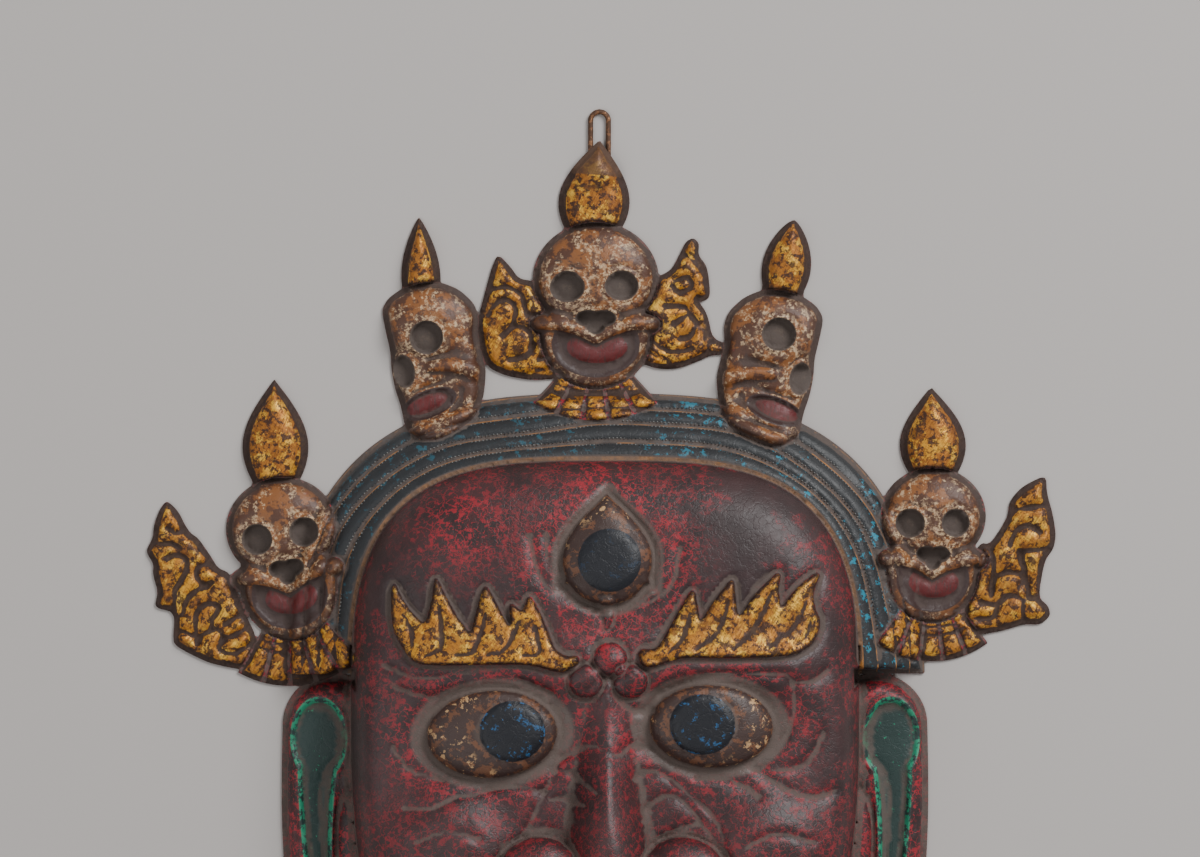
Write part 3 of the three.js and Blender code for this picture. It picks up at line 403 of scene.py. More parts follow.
# %% Lines chased into the face
WRINKLES = lines_chased(
    4,
    [(-94.7, 17.7), (-86, 14), (-77.2, 11.9)],
    [(-93.8, -10.1), (-86.9, -19.8), (-72.5, -24.3)],
    [(-88.9, -36.9), (-77.2, -36.9), (-65.5, -31.5), (-57.6, -30.6), (-43, -27.2), (-26.4, -29.6)],
    [(-20.1, -14), (-27.5, -31.5), (-37.2, -51.1), (-47.9, -60.8), (-58, -80), (-64, -100)],
    [(-18, -14.4), (-11.1, -10.5), (-3, -9.9), (5, -13.4), (11.9, -9.4), (21.1, -9.9)],
    [(-21.6, -20.8), (-13.7, -21.8), (-4.1, -29.6)],
    [(-24.5, -33), (-18.6, -32.5), (-9.8, -35)],
    [(-32.3, -45.7), (-25.5, -45.7), (-17.7, -49.1)],
    [(81.9, 19.9), (83.7, 9.6), (81.9, -1.9), (73.9, -13.4)],
    [(84.2, 18.2), (92.3, 19.4), (99.1, 23.9)],
    [(70.4, -19.1), (79.6, -19.7), (90, -16.8), (96.8, -4.2)],
    [(65.8, -19.1), (79.6, -28.3), (92.3, -32.3), (102.6, -29.4)],
    [(40.6, -23.7), (50.9, -23.7), (60.1, -26.6), (68.1, -31.7)],
    [(13, -23.7), (21.1, -20.3), (30.2, -24.8), (39.5, -32.9), (48.6, -42.1), (55.5, -61.6), (66, -98)],
    [(17.6, -37.5), (25.7, -31.7), (33.7, -32.9), (41.8, -42.1)],
    [(25.7, -50.1), (34.8, -45.5), (44.1, -45.5), (54.4, -60.4)],
    [(2.7, 14.2), (10.7, 7.3), (22.2, 5.9)],
    [(-98, 26), (-84, 21), (-66, 22), (-46, 23), (-24, 14)],
    [(24, 14), (46, 22), (66, 23), (80, 22)],
    [(-33.4, 83.5), (-28.9, 66.3), (-19.2, 57.3), (-4.3, 51.4)],
    [(33, 78.3), (30, 63.3), (19.6, 54.4), (9.1, 51.4)],
    [(-26, 84), (-24, 68), (-16, 58)],
    [(-84, -52), (-70, -47), (-56, -50)],
    [(62, -54), (76, -48), (92, -52)],
)

# %% Height of the face
def face_height(x, y, depth):
    high = ease((y - EAR_TOP + 20) / 60)
    foot = EAR_RISE + (HAIR_RISE - EAR_RISE) * high
    wall = WALL_RISE + (EAR_RISE - HAIR_RISE) * high
    run = WALL_RUN * (1 + 1.2 * high)
    z = foot + wall * shoulder(depth / run) + FACE_CROWN * shoulder(depth / CROWN_RUN)
    nose = swell(nose_ridge(x, y) / 18)
    z += NOSE_RISE * nose * (0.25 + 0.75 * ease((12 - y) / 70))
    for cx, cy, r in NOSTRILS:
        wing = oval(cx, cy, r, r * 0.85)(x, y)
        z += np.maximum(0, 13 * shoulder(wing / 15) - 0.35 * NOSE_RISE * nose) - chased(wing)
        z -= 5 * ease(oval(cx * 0.72, cy - 13, 7, 5)(x, y) / 3)
    z += CHEEK_RISE * ease(cheeks(x, y) / 26)
    z += BROW_RISE * ease(1 - np.abs(y - 26) / 20) * ease((100 - np.abs(x)) / 20)
    for cx, cy, r in NOSE_CURLS:
        curl = oval(cx, cy, r, r)(x, y)
        z += 4 * shoulder(curl / r) - chased(curl) - 0.6 * chased(curl - 0.5 * r, 0.8)
    return z + features_height(x, y)


def features_height(x, y):
    z = np.zeros_like(x)
    for ball, iris in zip(eye_balls, eye_irises):
        b, i = ball(x, y), iris(x, y)
        z += EYE_RISE * shoulder(b / 12) - 2.2 * ease(1 - np.abs(b + 1.4) / 3.2) - 0.8 * chased(b + 4.6)
        z += np.where(b > 0, 1.3 * shoulder(i / 2) - 0.3 * chased(i, 0.7), 0)
    t, i = third_eye(x, y), third_iris(x, y)
    z += 0.9 * EYE_RISE * shoulder(t / 12) - 2.2 * ease(1 - np.abs(t + 1.2) / 3) + 1.3 * shoulder(i / 2)
    tab = third_tab(x, y)
    z += 1.5 * shoulder(tab / 2) - 0.6 * chased(tab)
    for flames in (eyebrows, moustache, beard):
        flame = flames(x, y)
        z += FLAME_RISE * shoulder((flame + 0.4) / 2.2) - 0.9 * chased(flame + 1.3)
    for cut in brow_lines:
        z -= 0.8 * chased(cut(x, y), 1)
    lip, open_ = lips(x, y), gape(x, y)
    z += 6 * shoulder(lip / 9) * ease(lip / 3) - chased(lip + 1)
    z -= (MOUTH_SINK + 6) * ease(open_ / 4)
    inside = 5 * ease(upper_teeth(x, y) / 1.6) + 6 * shoulder(tongue(x, y) / 7)
    inside += FANG_RISE * shoulder(fangs(x, y) / 3)
    z += np.where(open_ > -4, inside, 0)
    z += CHIN_RISE * shoulder(chin_ball(x, y) / 15)
    for wrinkle in WRINKLES:
        z -= chased(wrinkle(x, y), 1.6)
    return z


# %% Height of the hair and the ears
def hair_share(x, y):
    inner = np.maximum(0, -face_edge(x, y))
    outer = np.maximum(0, hair_shape(x, y))
    share = outer / (outer + inner + 1e-6)
    angle = np.arctan2(x, y)
    wave = 0.3 * np.sin(5.2 * angle + 0.6) * (1 - np.abs(2 * share - 1))
    wave += 0.1 * np.sin(13 * angle + 2) * (1 - np.abs(2 * share - 1))
    return share, LOCKS * share + wave


def hair_height(x, y, depth):
    share, lock = hair_share(x, y)
    roll = np.abs(np.sin(np.pi * lock)) ** 0.7
    strands = 0.22 * np.abs(np.sin(3 * np.pi * lock))
    rise = SHEET + (HAIR_RISE - SHEET) * share**0.8
    return rise + (LOCK_RISE * (roll - 0.5) + strands) * ease(depth / 3)


ear_hollow = union(
    oval(ear_x + 6.5, -8, 13, 19), horn((ear_x + 7, -20), (ear_x + 9, -50), (ear_x + 4, -96), 9, 4.5)
)
EAR_LINES = [
    line((ear_x - 4, -17), (ear_x + 3, -22), (ear_x + 6, -34), (ear_x + 5, -49), (ear_x + 2, -80)),
    line((ear_x - 14, 8), (ear_x - 2, 17), (ear_x + 8, 17)),
]


def ear_shell(x, y):
    return ear_hollow(np.abs(x), y)


def ear_height(x, y, depth):
    a = np.abs(x)
    knob = oval(ear_x - 13, -58, 11, 28, -6)(a, y)
    ring = oval(ear_x - 3, 18 - EAR_LOBE, 14, 14)(a, y)
    shell = ear_shell(x, y)
    z = SHEET + (EAR_RISE - SHEET) * shoulder((depth - BRIM) / 9)
    z -= 4 * ease(shell / 3) + 0.7 * chased(shell + 2, 0.9)
    for cut in EAR_LINES:
        z -= 0.8 * chased(cut(a, y), 1.5)
    z += 4 * shoulder(knob / 9) - chased(knob)
    return z + 4 * shoulder(ring / 6) - 4 * ease((ring - 7) / 3) - chased(ring)


# %% [markdown]
# ## The crown
# Five skulls stand along the hair: three look out and two look sideways, each with a jewel on top.
# One function draws a frontal skull and another a profile, and a short table says where each stands,
# so the five are kin but not copies.

# %% Where the skulls and jewels stand
def hair_radius(direction):
    x, y, n = math.sin(math.radians(direction)), math.cos(math.radians(direction)), HAIR_SQUARENESS
    share = (abs(x) / hair_half_width) ** n + (abs(y) / hair_top) ** n
    return 1 / share ** (1 / n)


SKULLS = dict(
    far_left=dict(direction=-59.3, out=12.3, radius=25, tilt=8, stretch=1, collar=0.85),
    left=dict(direction=-23.6, out=40.9, radius=22.4, tilt=0, stretch=1, facing=-1, socket=(0.07, -0.35)),
    middle=dict(direction=-1.2, out=51.0, radius=28.4, tilt=0, stretch=0.85, collar=0.62),
    right=dict(direction=23.3, out=36.4, radius=23, tilt=0, stretch=0.95, facing=1, socket=(0.1, -0.12)),
    far_right=dict(direction=58.1, out=16.3, radius=23.7, tilt=-1, stretch=1, collar=0.76),
)
for skull in SKULLS.values():
    reach = hair_radius(skull["direction"]) + skull["out"]
    skull["x"] = reach * math.sin(math.radians(skull["direction"]))
    skull["y"] = reach * math.cos(math.radians(skull["direction"]))
    skull["inside"], skull["outside"] = place(
        skull["x"], skull["y"], skull["radius"], skull["tilt"], skull.get("facing", 1)
    )
JEWELS = [
    dict(skull="far_left", foot=(0.02, 0.86), lean=1, length=45.5, half=14.8, base=0.72, power=1),
    dict(skull="left", foot=(0.18, 0.66), lean=2, length=31.5, half=8.8, base=0.97, power=0.85),
    dict(skull="middle", foot=(-0.07, 0.74), lean=-5, length=42, half=16, base=0.72, power=1),
    dict(skull="right", foot=(0.19, 0.8), lean=-9, length=31, half=11, base=0.8, power=0.7),
    dict(skull="far_right", foot=(0, 0.8), lean=2, length=39, half=14.8, base=0.72, power=1),
]
for jewel in JEWELS:
    x, y = SKULLS[jewel["skull"]]["outside"](*jewel["foot"])
    jewel["inside"], jewel["outside"] = place(x, y, 1, jewel["lean"])
    jewel["shape"] = leaf(jewel["length"], jewel["half"], jewel["base"], jewel["power"])
tip_x, tip_y = JEWELS[2]["outside"](0, JEWELS[2]["length"])
print("skulls stand at", {n: (round(s["x"]), round(s["y"])) for n, s in SKULLS.items()})

# %% A skull from the front
brain = oval(0, 0, 1, 0.92)
jaw = union(oval(0, -1, 0.9, 1.04), oval(-0.66, -0.82, 0.4, 0.24), oval(0.66, -0.82, 0.4, 0.24))
front_pits = union(
    oval(-0.45, -0.14, 0.28, 0.28), oval(0.41, -0.12, 0.27, 0.27),
    oval(-0.12, -0.72, 0.21, 0.16), oval(0.12, -0.72, 0.21, 0.16), oval(0, -0.84, 0.16, 0.18),
)
smile = union(*[horn((s * 0.04, -1.08), (s * 0.4, -0.77), (s * 0.97, -0.78), 0.09, 0.17) for s in (-1, 1)])
front_gape = oval(0, -1.2, 0.7, 0.62)
front_tongue = oval(0.02, -1.25, 0.48, 0.3)
FRONT_LINES = lines_chased(
    FIGURE_REACH,
    [(-1.1, -0.56), (-0.83, -0.54), (-0.49, -0.62), (-0.3, -0.74)],
    [(1.1, -0.54), (0.83, -0.52), (0.55, -0.6), (0.36, -0.74)],
    [(-0.84, -1.12), (-0.66, -1.55), (-0.32, -1.82), (0, -1.88), (0.32, -1.82), (0.66, -1.55),
         (0.84, -1.12)],
    [(-0.62, 0.3), (-0.4, 0.24), (-0.14, 0.12), (-0.05, -0.1)],
)
PETALS, PETAL_SPREAD, NECK_RADIUS = 5, 0.66, 1.28


def under_smile(u, v):
    return -0.89 - 0.32 * np.maximum(0, 1 - np.abs(u)) ** 2.2 - v


def front_skull(skull):
    r = skull["radius"]

    def draw(u, v):
        v = np.where(v > 0, v, v / skull["stretch"])
        edge = np.maximum(brain(u, v), jaw(u, v))
        fall, turn = np.hypot(u, v + 1), np.arctan2(u, -(v + 1))
        collar = np.minimum(1 + skull["collar"] - fall, (PETAL_SPREAD - np.abs(turn)) * fall)
        collar = np.minimum(collar, -1.7 - v)
        petal = np.abs(np.cos(math.pi * PETALS * turn / (2 * PETAL_SPREAD)))
        share = np.where(fall > NECK_RADIUS, 0.45 + 0.55 * petal**0.6, 0.75)
        drape = COLLAR_RISE * shoulder(collar / 0.2) * share
        rings = chased(r * (fall - NECK_RADIUS), 0.9)
        rings = rings + chased(r * (fall - NECK_RADIUS + 0.17), 0.8)
        drape -= 0.8 * rings
        mouth = np.minimum(front_gape(u, v), under_smile(u, v))
        tongue_ = np.minimum(front_tongue(u, v), mouth - 0.06)
        pit = front_pits(u, v)
        head = np.maximum(SKULL_RISE * shoulder(brain(u, v) / 0.85), JAW_RISE * shoulder(edge / 0.4))
        head += 2.5 * shoulder(smile(u, v) / 0.15) - SOCKET_SINK * ease(pit / 0.06)
        head += 2.5 * shoulder(tongue_ / 0.15) - 0.6 * SOCKET_SINK * ease(mouth / 0.1)
        for cut in FRONT_LINES:
            head -= 0.75 * chased(r * cut(u, v), 1.2)
        head -= 0.8 * chased(r * edge) + 0.8 * chased(r * (pit + 0.06), 0.8) + 0.7 * chased(r * mouth)
        is_head = edge > 0
        return dict(
            edge=np.maximum(edge, collar) * r,
            z=np.where(is_head, head, drape),
            bone=np.where(is_head, edge, -0.2) * r,
            gold=np.where(is_head, -0.2, np.minimum(collar, 0.25 * (petal - 0.3))) * r,
            pit=pit * r,
            hole=np.minimum(mouth, edge - 0.03) * r,
            red=np.minimum(tongue_, edge) * r,
        )

    return draw


# %% A skull from the side
side_brain = oval(0.03, -0.12, 0.93, 0.86)
side_head = outlined(
    (0.98, 0.21), (0.84, 0.45), (0.55, 0.65), (0.18, 0.76), (-0.2, 0.77), (-0.58, 0.62), (-0.88, 0.34),
    (-0.98, 0.05), (-0.95, -0.3), (-1.05, -0.7), (-1.12, -1), (-1.08, -1.5), (-0.95, -1.9), (-0.6, -2.2),
    (-0.2, -2.4), (0.18, -2.42), (0.5, -2.2), (0.58, -1.75), (0.7, -1.4), (0.78, -1), (0.8, -0.62),
    (0.9, -0.2),
)
side_nose = oval(0.52, -1.03, 0.22, 0.34, -8)
side_cheek = horn((-0.05, -0.92), (-0.55, -0.86), (-0.98, -1.04), 0.13, 0.15)
side_gape = oval(0.02, -1.68, 0.6, 0.28, -22)
side_tongue = oval(0.06, -1.68, 0.44, 0.17, -22)
SIDE_LINES = lines_chased(
    FIGURE_REACH,
    [(0.0, -0.8), (-0.35, -0.68), (-0.75, -0.68), (-1.02, -0.86)],
    [(0.32, -1.44), (-0.1, -1.3), (-0.5, -1.14), (-0.95, -1.3)],
    [(0.45, -2.05), (0.0, -2.08), (-0.42, -1.88), (-0.66, -1.36)],
)


def side_skull(skull):
    r, socket = skull["radius"], oval(*skull["socket"], 0.34, 0.34)

    def draw(u, v):
        v = np.where(v > 0, v, v / skull["stretch"])
        edge, mouth = side_head(u, v), side_gape(u, v)
        tongue_, pit = side_tongue(u, v), np.maximum(socket(u, v), side_nose(u, v))
        z = np.maximum(SKULL_RISE * shoulder(side_brain(u, v) / 0.8), JAW_RISE * shoulder(edge / 0.4))
        z += 2.5 * shoulder(side_cheek(u, v) / 0.14) - SOCKET_SINK * ease(pit / 0.06)
        z += 2 * shoulder(tongue_ / 0.14) - 0.6 * SOCKET_SINK * ease(mouth / 0.1)
        for cut in SIDE_LINES:
            z -= 0.75 * chased(r * cut(u, v), 1.2)
        z -= 0.8 * chased(r * edge) + 0.8 * chased(r * (pit + 0.06), 0.8) + 0.7 * chased(r * (mouth + 0.05))
        return dict(
            edge=edge * r, z=z, bone=edge * r, gold=np.full_like(u, FAR),
            pit=np.minimum(pit, edge - 0.03) * r, hole=np.minimum(mouth, edge - 0.03) * r, red=tongue_ * r,
        )

    return draw


# %% Leafy scrolls, drawn in shares of the skull beside them
FAR = -9.0
SCROLLS = [
    dict(
        skull="far_left",
        outline=outlined(
            (-1.99, 0.78), (-1.87, 0.66), (-1.78, 0.51), (-1.73, 0.34), (-1.64, 0.14), (-1.51, 0.03),
            (-1.32, -0.35), (-1.24, -0.55), (-1.02, -0.68), (-0.9, -1.3), (-0.69, -1.99), (-0.9, -2.47),
            (-1.35, -2.33), (-1.62, -2.22), (-1.85, -2.08), (-2.15, -1.86), (-2.22, -1.75),
            (-2.11, -1.23), (-2.47, -1.1), (-2.36, -0.84), (-2.41, -0.5), (-2.37, -0.32),
            (-2.48, -0.07), (-2.32, 0.14), (-2.26, 0.39), (-2.13, 0.63),
        ),
        lines=[
            [(-2.21, 0.02), (-2.01, 0), (-1.88, -0.08)],
            [(-2.13, -0.24), (-1.94, -0.22), (-1.78, -0.31), (-1.8, -0.52), (-1.92, -0.69), (-2.06, -0.88),
             (-2.1, -1.13)],
            [(-1.29, -0.54), (-1.42, -0.46), (-1.59, -0.5), (-1.62, -0.68), (-1.51, -0.81), (-1.37, -0.79)],
            [(-1.97, -1.29), (-1.88, -1.07), (-1.69, -0.91), (-1.47, -0.84)],
            [(-1.77, -1.83), (-1.77, -1.51), (-1.7, -1.28), (-1.52, -1.17), (-1.33, -1.22), (-1.35, -1.33),
             (-1.46, -1.46), (-1.48, -1.59)],
            [(-2.19, -1.61), (-2.02, -1.59), (-1.87, -1.69)],
            [(-1.8, -1.85), (-1.64, -1.69), (-1.4, -1.65), (-1.32, -1.78), (-1.4, -2), (-1.18, -2.13),
             (-0.88, -2.01), (-0.68, -1.87)],
            [(-1.25, -1.58), (-1.05, -1.49), (-0.92, -1.46)],
            [(-1.28, -1.83), (-1.06, -1.77), (-0.84, -1.68)],
            [(-2.04, 0.29), (-1.87, 0.17), (-1.74, 0.24)],
        ],
    ),
    dict(
        skull="middle",
        outline=outlined(
            (-1.55, 0.42), (-1.35, 0.21), (-1.22, 0.02), (-0.95, -0.02), (-0.58, -0.72), (-0.37, -1.19),
            (-0.58, -1.56), (-1, -1.59), (-1.42, -1.52), (-1.7, -1.39), (-1.8, -1.19), (-1.85, -0.98),
            (-1.88, -0.67), (-1.8, -0.36), (-1.73, -0.1), (-1.65, 0.19),
        ),
        lines=[
            [(-1.68, -0.16), (-1.42, -0.11), (-1.23, -0.19)],
            [(-1.7, -0.57), (-1.62, -0.41), (-1.42, -0.31), (-1.26, -0.46), (-1.31, -0.7)],
            [(-1.47, -0.88), (-1.26, -0.73), (-1.05, -0.83), (-1, -1.04)],
            [(-1.36, -1.27), (-1.1, -1.2), (-0.99, -1.04)],
            [(-0.89, -1.27), (-0.63, -1.19), (-0.48, -1.04)],
            [(-0.95, -1.43), (-0.63, -1.38), (-0.37, -1.11)],
            [(-1.16, -0.25), (-1.1, -0.52), (-0.97, -0.57)],
        ],
    ),
    dict(
        skull="middle",
        outline=outlined(
            (0.88, 0.01), (1.19, 0.15), (1.31, 0.37), (1.43, 0.62), (1.55, 0.67), (1.64, 0.58), (1.62, 0.4),
            (1.77, 0.21), (1.82, -0.26), (1.71, -0.34), (1.62, -0.32), (1.77, -0.54), (1.85, -0.93),
            (2.16, -1.04), (2.13, -1.19), (1.82, -1.19), (1.69, -1.26), (1.3, -1.41), (0.98, -1.41),
            (0.72, -1.32), (0.41, -1.04),
        ),
        lines=[
            [(1.24, -0.02), (1.45, 0.03), (1.51, -0.12), (1.32, -0.19), (1.22, -0.09)],
            [(1.43, 0.4), (1.56, 0.27), (1.67, 0.14)],
            [(1.11, -0.41), (1.45, -0.46), (1.66, -0.72), (1.72, -0.96)],
            [(1.24, -0.7), (1.45, -0.57), (1.57, -0.72), (1.5, -0.89), (1.35, -0.93)],
            [(0.8, -0.83), (0.98, -1.04), (1.24, -1.15), (1.53, -1.09)],
            [(0.7, -0.93), (0.88, -1.17), (1.17, -1.27)],
            [(1.77, -1.1), (1.83, -0.98), (1.96, -1.04)],
        ],
    ),
    dict(
        skull="far_right",
        outline=outlined(
            (0.88, -0.49), (1.08, -0.52), (1.27, -0.25), (1.42, 0.03), (1.44, 0.3), (1.68, 0.59),
            (2.13, 0.82), (2.15, 0.47), (2.27, 0.08), (2.34, -0.31), (2.3, -0.58), (2.13, -0.81),
            (2.02, -1.51), (2.22, -1.67), (2.26, -1.86), (2.07, -2.03), (1.76, -2.02), (1.38, -2.15),
            (0.95, -2.24), (0.6, -2.16), (0.59, -1.5),
        ),
        lines=[
            [(1.45, 0.1), (1.72, 0.18), (2.11, 0.23)],
            [(1.46, -0.52), (1.58, -0.24), (1.81, -0.16), (2.04, -0.27)],
            [(2.26, -0.57), (1.89, -0.62), (1.7, -0.71), (1.82, -1.09), (1.87, -1.52)],
            [(1.64, -0.63), (1.68, -0.94), (1.79, -1.29), (1.83, -1.52), (2.04, -1.51)],
            [(1.13, -1.49), (1.18, -1.18), (1.43, -1.04), (1.69, -1.13), (1.65, -1.37)],
            [(1.08, -0.56), (1.16, -0.91), (1.13, -1.34)],
            [(0.9, -1.61), (1.21, -1.65), (1.44, -1.49), (1.72, -1.56), (1.74, -1.83), (1.8, -2.02)],
            [(0.83, -1.94), (1.14, -1.92), (1.23, -1.76)],
        ],
    ),
]
SCROLL_GROOVE_HALF, SCROLL_GROOVE_DEPTH, SCROLL_REACH = 1.5, 1.5, 0.2


def scroll(spec):
    skull = SKULLS[spec["skull"]]
    grooves = lines_chased(SCROLL_REACH, *spec["lines"])

    def draw(px, py):
        u, v = skull["inside"](px, py)
        edge = spec["outline"](u, v) * skull["radius"]
        z = SCROLL_RISE * shoulder((edge - BRIM * 0.4) / 5)
        for cut in grooves:
            z = z - SCROLL_GROOVE_DEPTH * chased(cut(u, v) * skull["radius"], SCROLL_GROOVE_HALF)
        return dict(edge=edge, z=z, gold=edge)

    return draw


# %% [markdown]
# ## The whole relief
# The figures are laid over each other as the smith saw them: hair and ears behind the face, scrolls
# and jewels behind the skulls. Each layer also leaves its depth behind in a paint map, so the paint
# follows the chasing exactly.

# %% Lay the figures over each other
CROWN_PAINTS = ("gold", "bone", "pit", "red", "cap", "jewel", "hole")
PAINTS = (*CROWN_PAINTS, "hair", "shell", "eye", "iris", "lip")
maps = {name: np.full(X.shape, FAR, np.float32) for name in PAINTS}


def window(x0, x1, y0, y1):
    c0, c1 = (np.clip([(x0 - left) / cell, (x1 - left) / cell + 1], 0, side)).astype(int)
    r0, r1 = (np.clip([(y0 - bottom) / cell, (y1 - bottom) / cell + 1], 0, side)).astype(int)
    return slice(r0, r1), slice(c0, c1)


face, hair, ear = face_edge(X, Y), hair_edge(X, Y), ear_edge(X, Y)
edge = np.maximum(np.maximum(face, hair), ear).astype(np.float32)
height = np.full(X.shape, SHEET, np.float32)
height = np.where((hair > 0) & (face <= 0), np.maximum(height, hair_height(X, Y, hair)), height)
height = np.where((ear > 0) & (face <= 0), np.maximum(height, ear_height(X, Y, ear)), height)
crown = np.zeros_like(height)
covered = np.zeros_like(height)


def lay(drawn, win, takes_over):
    depth, rise = drawn["edge"], drawn["z"]
    edge[win] = np.maximum(edge[win], depth)
    inside = depth > 0
    if takes_over:
        crown[win] = np.where(inside, rise, crown[win])
    else:
        crown[win] = np.where(inside, np.maximum(rise, crown[win]), crown[win])
    covered[win] = np.maximum(covered[win], ease((depth + 2) / 4))
    for name in CROWN_PAINTS:
        fresh = drawn.get(name, np.full_like(depth, FAR))
        kept = np.minimum(maps[name][win], -depth)
        maps[name][win] = np.maximum(np.minimum(fresh, depth), kept)


for spec in SCROLLS:
    skull = SKULLS[spec["skull"]]
    reach = 3 * skull["radius"]
    win = window(skull["x"] - reach, skull["x"] + reach, skull["y"] - reach, skull["y"] + reach)
    lay(scroll(spec)(X[win], Y[win]), win, False)
for jewel in JEWELS:
    x, y = jewel["outside"](0, 0)
    win = window(x - 30, x + 30, y - 20, y + jewel["length"] + 8)
    u, v = jewel["inside"](X[win], Y[win])
    depth = jewel["shape"](u, v)
    cap = (v - 0.62 * jewel["length"]) if jewel["skull"] == "middle" else np.full_like(v, FAR)
    rise = JEWEL_RISE * shoulder((depth - BRIM * 0.4) / (jewel["half"] * 0.7))
    lay(dict(edge=depth, z=rise, gold=depth, cap=np.minimum(cap, depth), jewel=depth), win, False)
for skull in SKULLS.values():
    r = skull["radius"]
    win = window(skull["x"] - 1.7 * r, skull["x"] + 1.7 * r, skull["y"] - 3.3 * r, skull["y"] + 1.4 * r)
    u, v = skull["inside"](X[win], Y[win])
    draw = side_skull(skull) if "facing" in skull else front_skull(skull)
    lay(draw(u, v), win, True)
print("figures laid, tallest crown relief", round(float(crown.max()), 1), "mm")

# %% Raise the face and keep the rim flat
win = window(-FACE_HALF_WIDTH - 2, FACE_HALF_WIDTH + 2, -CHIN - 2, FOREHEAD + 2)
raised = face_height(X[win], Y[win], face[win])
height[win] = np.where(face[win] > 0, raised, height[win])
height = np.maximum(SHEET, height + crown - np.where(height > SHEET, 1.5 * covered, 0))


def wire_lift(x, y):
    away = np.hypot(x - tip_x, y - tip_y)
    return (WIRE + SOLDER_GAP) * ease((LOOP_LEG + 13 - away) / 6)


lift = wire_lift(X, Y)
height = lift + SHEET + (height - SHEET) * ease((edge - 0.5 * BRIM) / BRIM)
slope_y, slope_x = np.gradient(height, cell)
back = np.maximum(lift, height - SHEET * np.minimum(3, np.sqrt(1 + slope_x**2 + slope_y**2)))
print("relief is", round(float(height.max()), 1), "mm deep")

# %% Paint maps of the face, hair and ears
maps["hair"] = np.minimum(np.minimum(hair, -face), 2 - 4 * covered)
maps["shell"] = np.where(face <= 0, ear_shell(X, Y), FAR)
for ball in (*eye_balls, third_eye):
    maps["eye"] = np.maximum(maps["eye"], ball(X, Y))
for ball in (*eye_irises, third_iris):
    maps["iris"] = np.maximum(maps["iris"], ball(X, Y))
flames = np.maximum(eyebrows(X, Y), np.maximum(moustache(X, Y), beard(X, Y)))
earring = oval(ear_x - 3, 18 - EAR_LOBE, 14, 14)(np.abs(X), Y)
maps["gold"] = np.maximum(maps["gold"], np.where(face > 0, flames, np.where(ear > 0, earring, FAR)))
teeth = np.maximum(upper_teeth(X, Y), fangs(X, Y))
maps["bone"] = np.maximum(maps["bone"], np.where(gape(X, Y) > -4, teeth, FAR))
maps["lip"] = np.where(face > 0, lips(X, Y), FAR)
RED_PATCHES = [(-62, 88, 0.9, 420), (1, 38, 0.8, 300)]
flush = 0.8 * np.exp(-(((third_eye(X, Y) + 9) / 10) ** 2))
for ball in eye_balls:
    flush = np.maximum(flush, 0.6 * np.exp(-(((ball(X, Y) + 8) / 7) ** 2)))
flush = np.maximum(flush, 0.4 * ease((-14 - Y) / 40))
for x, y, strength, spread in RED_PATCHES:
    flush = np.maximum(flush, strength * np.exp(-((X - x) ** 2 + (Y - y) ** 2) / spread))
maps["flush"] = np.where(face > 0, flush, 0.75)


def blurred(values, radius):
    """A box blur, done twice so that it is nearly round, from running sums."""
    n = int(radius / cell)
    for _ in range(2):
        for axis in (0, 1):
            padded = np.pad(values, [(n + 1, n) if a == axis else (0, 0) for a in (0, 1)], mode="edge")
            sums = np.cumsum(padded, axis=axis, dtype=np.float64)
            high, low = (sums[2 * n + 1:], sums[:-2 * n - 1]) if axis == 0 else (
                sums[:, 2 * n + 1:], sums[:, :-2 * n - 1])
            values = ((high - low) / (2 * n + 1)).astype(np.float32)
    return values


FINE_RELIEF = 2.4
inside_mask = (edge > 0).astype(np.float32)
weight = np.maximum(blurred(inside_mask, FINE_RELIEF), 1e-3)
maps["lock"] = hair_share(X, Y)[1]
maps["face"], maps["covered"] = face, covered
maps["relief"] = height - blurred(height * inside_mask, FINE_RELIEF) / weight
print("paint maps", sorted(maps))

# %% [markdown]
# ## From relief to sheet
# A plain grid fine enough for the chased lines would need a million faces. Instead the board is
# halved into right-angled triangles again and again, only where the relief bends or the outline
# passes, and the halves share their midpoints so that no cracks open. Then the triangles are trimmed
# to the outline, copied down by the thickness of the sheet, and joined by a wall along the rim.

# %% Halve the board into triangles
FACES_PER_SIDE = 93000
RIM_STEP = 2.0
LARGEST_STEP = 16.0


def halvings():
    n = CELLS
    levels = [np.array([[0, 0, n, n, 0, n], [n, n, 0, 0, n, 0]], np.int16)]
    for _ in range(2 * int(math.log2(n)) - 1):
        ax, ay, bx, by, cx, cy = levels[-1].T
        mx, my = (ax + bx) // 2, (ay + by) // 2
        halves = np.empty((2 * len(ax), 6), np.int16)
        halves[0::2] = np.stack([cx, cy, ax, ay, mx, my], 1)
        halves[1::2] = np.stack([bx, by, cx, cy, mx, my], 1)
        levels.append(halves)
    return levels


def where(column, row):
    return row.astype(np.int32) * side + column


